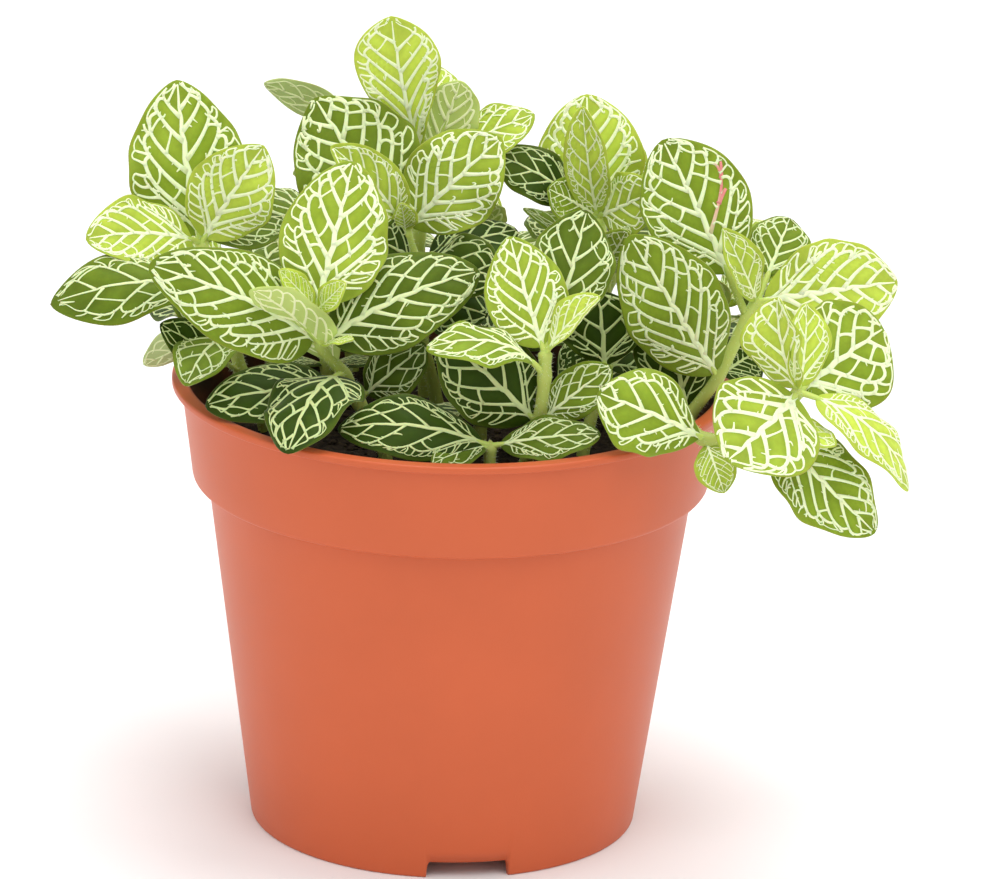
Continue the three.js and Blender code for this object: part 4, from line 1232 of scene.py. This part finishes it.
class Surface:
    """A Principled material and short ways to wire it."""

    def __init__(self, name, roughness, **sockets):
        self.material = bpy.data.materials.new(name)
        self.material.use_nodes = True
        self.nodes = self.material.node_tree.nodes
        self.shader = self.nodes["Principled BSDF"]
        self.shader.inputs["Roughness"].default_value = roughness
        for title, value in sockets.items():
            self.shader.inputs[title.replace("_", " ")].default_value = value

    def join(self, source, target):
        """Wires an output to an input."""
        self.material.node_tree.links.new(source, target)

    def attribute(self, name):
        """The number that the mesh holds under that name."""
        node = self.nodes.new("ShaderNodeAttribute")
        node.attribute_name = name
        return node.outputs["Fac"]

    def noise(self, per_metre, detail=3.0):
        """Smooth noise of so many lumps to the metre, from 0 to 1."""
        place = self.nodes.new("ShaderNodeTexCoord")
        node = self.nodes.new("ShaderNodeTexNoise")
        node.inputs["Scale"].default_value = per_metre
        node.inputs["Detail"].default_value = detail
        self.join(place.outputs["Object"], node.inputs["Vector"])
        return node.outputs["Fac"]

    def around(self, axis):
        """Distance from an upright axis, and height, of the point that is shaded."""
        place = self.nodes.new("ShaderNodeTexCoord")
        parts = self.nodes.new("ShaderNodeSeparateXYZ")
        flat = self.nodes.new("ShaderNodeCombineXYZ")
        apart = self.nodes.new("ShaderNodeVectorMath")
        apart.operation = "DISTANCE"
        apart.inputs[1].default_value = axis
        self.join(place.outputs["Object"], parts.inputs["Vector"])
        self.join(parts.outputs["X"], flat.inputs["X"])
        self.join(parts.outputs["Y"], flat.inputs["Y"])
        self.join(flat.outputs["Vector"], apart.inputs[0])
        return apart.outputs["Value"], parts.outputs["Z"]

    def between(self, value, low, high, to_low=0.0, to_high=1.0):
        """A value's range from low to high moved to another range, and held inside it."""
        node = self.nodes.new("ShaderNodeMapRange")
        for title, number in zip(
            ("From Min", "From Max", "To Min", "To Max"), (low, high, to_low, to_high)
        ):
            node.inputs[title].default_value = number
        self.join(value, node.inputs["Value"])
        return node.outputs["Result"]

    def sum(self, first, second, operation="ADD"):
        """Two numbers added, or joined by another operation."""
        node = self.nodes.new("ShaderNodeMath")
        node.operation = operation
        for socket, value in zip(node.inputs, (first, second)):
            if isinstance(value, float):
                socket.default_value = value
            else:
                self.join(value, socket)
        return node.outputs["Value"]

    def ramp(self, value, *stops):
        """A colour that runs through (place, colour) stops."""
        node = self.nodes.new("ShaderNodeValToRGB")
        elements = node.color_ramp.elements
        while len(elements) < len(stops):
            elements.new(0.5)
        for element, (place, colour) in zip(elements, stops):
            element.position = place
            element.color = (*colour, 1)
        self.join(value, node.inputs["Fac"])
        return node.outputs["Color"]

    def mix(self, share, first, second, blend="MIX"):
        """A share of the second colour laid over the first."""
        node = self.nodes.new("ShaderNodeMix")
        node.data_type = "RGBA"
        node.blend_type = blend
        ways = [socket for socket in node.inputs if socket.type == "RGBA"]
        if isinstance(share, float):
            node.inputs["Factor"].default_value = share
        else:
            self.join(share, node.inputs["Factor"])
        for socket, value in zip(ways, (first, second)):
            if isinstance(value, bpy.types.NodeSocket):
                self.join(value, socket)
            else:
                socket.default_value = (*value, 1)
        return next(socket for socket in node.outputs if socket.type == "RGBA")

    def grey(self, value):
        """The same number in red, green and blue."""
        node = self.nodes.new("ShaderNodeCombineColor")
        for socket in node.inputs:
            self.join(value, socket)
        return node.outputs["Color"]

    def colour(self, value):
        """Makes that output the surface's colour."""
        self.join(value, self.shader.inputs["Base Color"])

    def bump(self, value, metres):
        """Fine relief of that height."""
        node = self.nodes.new("ShaderNodeBump")
        node.inputs["Strength"].default_value = 1.0
        node.inputs["Distance"].default_value = metres
        self.join(value, node.inputs["Height"])
        self.join(node.outputs["Normal"], self.shader.inputs["Normal"])


def plant_materials(look, stem_look):
    """Upper face, lower face, upper veins, lower veins, stalks and stems, and hairs. Greens
    and creams run from young to old by age, and painted shade makes a blade darker in the
    valleys between its mounds."""
    upper = Surface(
        "leaf_upper", 0.5, Specular_IOR_Level=0.1, Sheen_Weight=0.08, Sheen_Roughness=0.45
    )
    age = upper.attribute("age")
    age = upper.sum(age, upper.between(upper.noise(90), 0.3, 0.7, -0.07, 0.07))
    margin = upper.between(upper.attribute("edge"), 0.8, 0.97, 1.0, 0.86)
    age = upper.sum(age, margin, "MULTIPLY")
    green = upper.ramp(age, (0.0, look.young), (0.42, look.grown), (0.95, look.old))
    # Painted shade: the blade is darker in the valleys along its veins, midrib and edge, where the
    # mounds are low, and a little lighter on their crests.
    shade = upper.between(upper.attribute("mound"), 0.0, 0.8, 0.84, 1.07)
    grain = upper.between(upper.noise(900, 2.0), 0.3, 0.7, 0.95, 1.05)
    green = upper.mix(1.0, green, upper.grey(upper.sum(shade, grain, "MULTIPLY")), "MULTIPLY")
    rim = upper.between(upper.attribute("edge"), 0.985, 1.0, 0.0, 0.2)
    upper.colour(upper.mix(rim, green, look.vein_old))

    under = Surface("leaf_under", 0.6, Specular_IOR_Level=0.3)
    age = under.attribute("age")
    under.colour(under.ramp(age, (0.0, look.under), (0.7, look.under_old)))

    vein = Surface("vein_upper", 0.5, Specular_IOR_Level=0.2)
    age = vein.attribute("age")
    cream = vein.ramp(age, (0.3, look.vein_young), (1.0, look.vein_old))
    blush = vein.between(vein.attribute("pink"), 0.0, 1.0, 0.0, 0.85)
    middle = vein.mix(blush, cream, look.vein_pink)
    green = vein.ramp(age, (0.0, look.young), (0.42, look.grown), (0.95, look.old))
    fade = vein.between(vein.attribute("fade"), 0.0, 1.0, 0.0, 0.7)
    vein.colour(vein.mix(fade, middle, green))

    low = Surface("vein_under", 0.6, Specular_IOR_Level=0.3)
    age = low.attribute("age")
    low.colour(low.ramp(age, (0.0, look.under_vein), (0.8, look.under_vein_old)))

    stalk = Surface("stalk", 0.5, Specular_IOR_Level=0.4)
    age = stalk.attribute("age")
    stalk.colour(stalk.ramp(age, (0.0, stem_look.colour), (1.0, stem_look.foot_colour)))

    hair = Surface("hair", 0.6)
    hair.shader.inputs["Base Color"].default_value = (*stem_look.hair_colour, 1)
    for leafy, share in ((upper, 0.12), (under, 0.12), (vein, 0.2), (stalk, 0.2)):
        leafy.shader.inputs["Subsurface Weight"].default_value = share
        leafy.shader.inputs["Subsurface Scale"].default_value = LIGHT_DEPTH
    return [s.material for s in (upper, under, vein, low, stalk, hair)]


def pot_material(look):
    """Faintly mottled satin plastic, with painted shade on its inner wall."""
    pot = Surface("pot_plastic", 0.42, Specular_IOR_Level=0.32)
    mottle = pot.between(pot.noise(35), 0.3, 0.7, 0.97, 1.03)
    plastic = pot.mix(1.0, tuple(look.colour), pot.grey(mottle), "MULTIPLY")
    # Painted shade covers the inner wall in patches, up to a little under the lip. A point is on
    # the inside where it is nearer the axis than the middle of the band's sloping wall.
    radius, height = pot.around(tuple(POT_AXIS))
    slope = (BAND_TOP_RADIUS - BAND_FOOT_RADIUS) / (POT_HEIGHT - BAND_FOOT)
    wall = pot.sum(height, float(slope), "MULTIPLY")
    inward = pot.sum(radius, wall, "SUBTRACT")
    middle = (BAND_FOOT_RADIUS - 0.5 * look.wall / MM - slope * BAND_FOOT) * MM
    inside = pot.between(inward, middle - 0.0001, middle + 0.0001, 1.0, 0.0)
    low = pot.between(height, (POT_HEIGHT - 4) * MM, (POT_HEIGHT - 1.2) * MM, 1.0, 0.25)
    shade_patches = pot.between(pot.noise(180, 4.0), 0.25, 0.6, 0.75, 1.0)
    above = pot.between(height, (SOIL_TOP - 5) * MM, (SOIL_TOP - 4) * MM)
    inside = pot.sum(inside, above, "MULTIPLY")
    share = pot.sum(pot.sum(inside, low, "MULTIPLY"), shade_patches, "MULTIPLY")
    pot.colour(pot.mix(share, plastic, tuple(look.inner_shade)))
    pot.bump(pot.noise(2600, 2.0), 0.00002)
    return pot.material


def soil_materials(look):
    """The rough bed, and the crumbs, of which some are drier."""
    bed = Surface("soil_bed", 0.95, Specular_IOR_Level=0.1)
    bed.colour(bed.ramp(bed.noise(700), (0.35, look.colour), (0.75, look.dry)))
    bed.bump(bed.noise(1500, 5.0), 0.0008)
    crumb = Surface("soil_crumb", 0.95, Specular_IOR_Level=0.1)
    crumb.colour(crumb.ramp(crumb.attribute("dry"), (0.2, look.colour), (1.0, look.dry)))
    return [bed.material, crumb.material]


# ---------- Operators ----------

POT_STEP = 6.0  # longest side of the pot's faces, on the way from foot to lip
PLUG_STEP = 8.0  # the same on the soil's wall
SOIL_GAP = 0.4  # between the soil and the pot's wall
SOIL_RINGS = 90  # rings of points on the soil's top
SOIL_SIDES = 260  # points on each of them
DRAIN_SIDES = 32  # sides of a drain hole
LEAF_BOXES = 6  # boxes of the baked map for each leaf: two faces, two nets, stalk, hairs

FLOOR_HALF = 6.0  # metres
SKY = 0.8  # strength of the white light from all round
LAMP_AIM = (0, 0, 0.1)  # metres
# Square lamps: name, place and side in metres, and watts.
LAMPS = (
    ("key", (0.6, -1.1, 1.5), 1.0, 8),
    ("fill", (-1.2, -0.8, 0.9), 1.0, 2.5),
    ("top", (0.1, 0.2, 1.8), 1.0, 16),
)


class NERVEPLANT_OT_pot(bpy.types.Operator):
    """Turn the pot, notch its foot and bore its drain holes"""

    bl_idname = "nerveplant.pot"
    bl_label = "Pot"

    def execute(self, context):
        look = context.scene.nerveplant_pot
        build = Build()
        profile = divided(pot_profile(look), POT_STEP)
        turned(build, profile, pot_angles(look.sides), 0, 0, 1, notched)
        pot = build.finish("pot_shell", [pot_material(look)], ["pot"])
        self.bore(pot)
        return {"FINISHED"}

    def bore(self, pot):
        """Cuts all the drain holes at once, with one mesh of upright cylinders that pass
        through the base plate."""
        cutter = Build()
        turn = np.arange(DRAIN_SIDES) * 2 * np.pi / DRAIN_SIDES
        low, high = PLATE - 3, PLATE + 4
        profile = np.array([(0, low), (DRAIN_RADIUS, low), (DRAIN_RADIUS, high), (0, high)])
        for k in range(DRAIN_HOLES):
            angle = 2 * math.pi * k / DRAIN_HOLES
            middle = DRAIN_RING * np.array([math.cos(angle), math.sin(angle), 0])
            turned(cutter, profile, turn, 0, 0, 1, middle=middle)
        tool = cutter.finish("drain_cutter", [], [])
        modifier = pot.modifiers.new("drain", "BOOLEAN")
        modifier.operation = "DIFFERENCE"
        modifier.object = tool
        depsgraph = bpy.context.evaluated_depsgraph_get()
        bored = bpy.data.meshes.new_from_object(pot.evaluated_get(depsgraph))
        if len(bored.vertices) == len(pot.data.vertices):
            raise RuntimeError("the drain holes are not cut")
        pot.modifiers.clear()
        pot.data = bored
        bpy.data.objects.remove(tool)


class NERVEPLANT_OT_soil(bpy.types.Operator):
    """Make the plug of soil with its rough top and loose crumbs"""

    bl_idname = "nerveplant.soil"
    bl_label = "Soil"

    def execute(self, context):
        look = context.scene.nerveplant_soil
        rng = np.random.default_rng(CRUMB_SEED)
        wall = context.scene.nerveplant_pot.wall / MM
        low = PLATE + wall + 0.3
        outside = rounded([
            (0, low, 0),
            (FOOT_RADIUS - wall - SOIL_GAP, low, 1.2),
            (BODY_TOP_RADIUS - wall - SOIL_GAP, BAND_FOOT - 0.8, 0),
            (BAND_FOOT_RADIUS - wall - SOIL_GAP, BAND_FOOT + 1.7, 0),
            (SOIL_RADIUS, SOIL_TOP, 0),
        ])
        radii = np.linspace(SOIL_RADIUS, 0, SOIL_RINGS)[1:]
        bed = np.stack([radii, np.full(len(radii), SOIL_TOP)], -1)
        profile = np.concatenate([divided(outside, PLUG_STEP), bed])

        def shape(points):
            """Gives the points of the top their own height."""
            x, y, z = np.moveaxis(points, -1, 0)
            on_top = z >= SOIL_TOP - 0.01
            points[..., 2] = np.where(on_top, soil_height(x, y, look), z)
            return points

        profile[-1, 1] = soil_height(np.zeros(1), np.zeros(1), look)[0]
        build = Build()
        angles = np.arange(SOIL_SIDES) * 2 * np.pi / SOIL_SIDES
        turned(build, profile, angles, BED, 0, 2, shape)
        add_crumbs(build, look, rng, 1, 2)
        build.finish("soil_bed", soil_materials(look), ["soil"])
        return {"FINISHED"}


class NERVEPLANT_OT_stems(bpy.types.Operator):
    """Grow every stem with its leaves, veins, stalks and hairs"""

    bl_idname = "nerveplant.stems"
    bl_label = "Leafy stems"

    def execute(self, context):
        scene = context.scene
        look, stem_look = scene.nerveplant_leaf, scene.nerveplant_stem
        materials = plant_materials(look, stem_look)
        rows = STEMS + [bushy_stem(*row) for row in BUSHY_STEMS]
        for number, (name, points, leaves) in enumerate(rows):
            rng = np.random.default_rng(STEM_SEED + number)
            stem = Build()
            add_stem(stem, points, stem_look, rng, 2)
            stem.finish(f"{name}_stalk", materials, [name])
            for at in sorted({leaf[0] for leaf in leaves}):
                pair = [leaf for leaf in leaves if leaf[0] == at]
                title = f"{name}_leaves_{at}"
                seed = (STEM_SEED + number, at)
                self.leaf_group(title, name, points[at], pair, materials, scene, seed)
        return {"FINISHED"}

    def leaf_group(self, title, node, foot, rows, materials, scene, seed):
        """One object of the leaves at one point of a stem. Each leaf has its own seed."""
        look, stem_look = scene.nerveplant_leaf, scene.nerveplant_stem
        build = Build()
        cells = LEAF_BOXES * len(rows)
        for number, row in enumerate(rows):
            rng = np.random.default_rng([*seed, number])
            leaf = Leaf(foot, row, rng, look)
            first = LEAF_BOXES * number
            add_blade(build, leaf, first, cells)
            pink = (node, row[1]) == BLUSHING
            add_veins(build, leaf, rng, look, pink, first + 2, cells)
            path, radius = add_stalk(build, leaf, stem_look, first + 4, cells)
            count = int(stem_look.hairs * leaf.length * leaf.stalk / 10)
            bare, thick = path[:BARE_POINTS], radius[:BARE_POINTS]
            add_hairs(build, bare, thick, count, stem_look, rng, 0.2, first + 5, cells)
        build.finish(title, materials, [node])


class NERVEPLANT_OT_stage(bpy.types.Operator):
    """Set the floor, the light and the camera"""

    bl_idname = "nerveplant.stage"
    bl_label = "Stage"

    def execute(self, context):
        scene = context.scene
        look = scene.nerveplant_stage
        floor = bpy.data.meshes.new("floor")
        half = FLOOR_HALF
        corners = [(-half, -half, 0), (half, -half, 0), (half, half, 0), (-half, half, 0)]
        floor.from_pydata(corners, [], [(0, 1, 2, 3)])
        cover = Surface("floor", 0.9, Specular_IOR_Level=0.0)
        cover.shader.inputs["Base Color"].default_value = (*look.floor, 1)
        floor.materials.append(cover.material)
        ground = bpy.data.objects.new("floor", floor)
        scene.collection.objects.link(ground)
        self.lights(scene)
        self.camera(scene, look)
        scene.view_settings.view_transform = "Standard"
        return {"FINISHED"}

    def lights(self, scene):
        """White light from all round, and soft lamps that look at the pot."""
        world = bpy.data.worlds.new("studio")
        world.use_nodes = True
        background = world.node_tree.nodes["Background"]
        background.inputs["Color"].default_value = (1, 1, 1, 1)
        background.inputs["Strength"].default_value = SKY
        scene.world = world
        for name, place, size, watts in LAMPS:
            lamp = bpy.data.lights.new(name, "AREA")
            lamp.size = size
            lamp.energy = watts
            holder = bpy.data.objects.new(name, lamp)
            holder.location = place
            toward = Vector(LAMP_AIM) - holder.location
            holder.rotation_euler = toward.to_track_quat("-Z", "Y").to_euler()
            scene.collection.objects.link(holder)

    def camera(self, scene, look):
        """The lens stands its distance from the aim, up by the climb and left by aside. It
        looks along the direction that yaw and pitch give, and is rolled about it."""
        aim = Vector(POT_AXIS) + Vector((0, 0, look.aim_height))
        back, above = math.cos(look.climb), math.sin(look.climb)
        place = aim + Vector((-look.aside, -look.distance * back, look.distance * above))
        level, down = math.cos(look.pitch), math.sin(look.pitch)
        ahead = Vector((math.sin(look.yaw) * level, math.cos(look.yaw) * level, -down))
        right = Vector((math.cos(look.yaw), -math.sin(look.yaw), 0))
        up = right.cross(ahead)
        across = math.cos(look.roll) * right + math.sin(look.roll) * up
        over = math.cos(look.roll) * up - math.sin(look.roll) * right
        lens = bpy.data.cameras.new("camera")
        lens.sensor_width = 36
        lens.lens = look.lens
        lens.clip_start = 0.05
        lens.clip_end = 30
        camera = bpy.data.objects.new("camera", lens)
        turn = Matrix((across, over, -ahead)).transposed().to_4x4()
        camera.matrix_world = Matrix.Translation(place) @ turn
        scene.collection.objects.link(camera)
        scene.camera = camera


class NERVEPLANT_PT_panel(bpy.types.Panel):
    """Lists the operators in the order in which they run"""

    bl_idname = "NERVEPLANT_PT_panel"
    bl_label = "Nerve plant"
    bl_space_type = "VIEW_3D"
    bl_region_type = "UI"
    bl_category = "Nerve plant"

    def draw(self, context):
        for operator in OPERATORS:
            self.layout.operator(operator.bl_idname)


OPERATORS = (
    NERVEPLANT_OT_pot, NERVEPLANT_OT_soil, NERVEPLANT_OT_stems, NERVEPLANT_OT_stage,
)
SETTINGS = {
    "nerveplant_leaf": LeafSettings,
    "nerveplant_stem": StemSettings,
    "nerveplant_pot": PotSettings,
    "nerveplant_soil": SoilSettings,
    "nerveplant_stage": StageSettings,
}
CLASSES = (*SETTINGS.values(), *OPERATORS, NERVEPLANT_PT_panel)


def register():
    """Registers the classes and gives the scene their settings."""
    for each in CLASSES:
        bpy.utils.register_class(each)
    for name, group in SETTINGS.items():
        setattr(bpy.types.Scene, name, bpy.props.PointerProperty(type=group))


def unregister():
    """Takes the settings and classes back out."""
    for name in SETTINGS:
        delattr(bpy.types.Scene, name)
    for each in reversed(CLASSES):
        bpy.utils.unregister_class(each)


def main():
    register()
    bpy.ops.nerveplant.pot()
    bpy.ops.nerveplant.soil()
    bpy.ops.nerveplant.stems()
    bpy.ops.nerveplant.stage()
    bpy.context.view_layer.update()


if __name__ == "__main__":
    main()
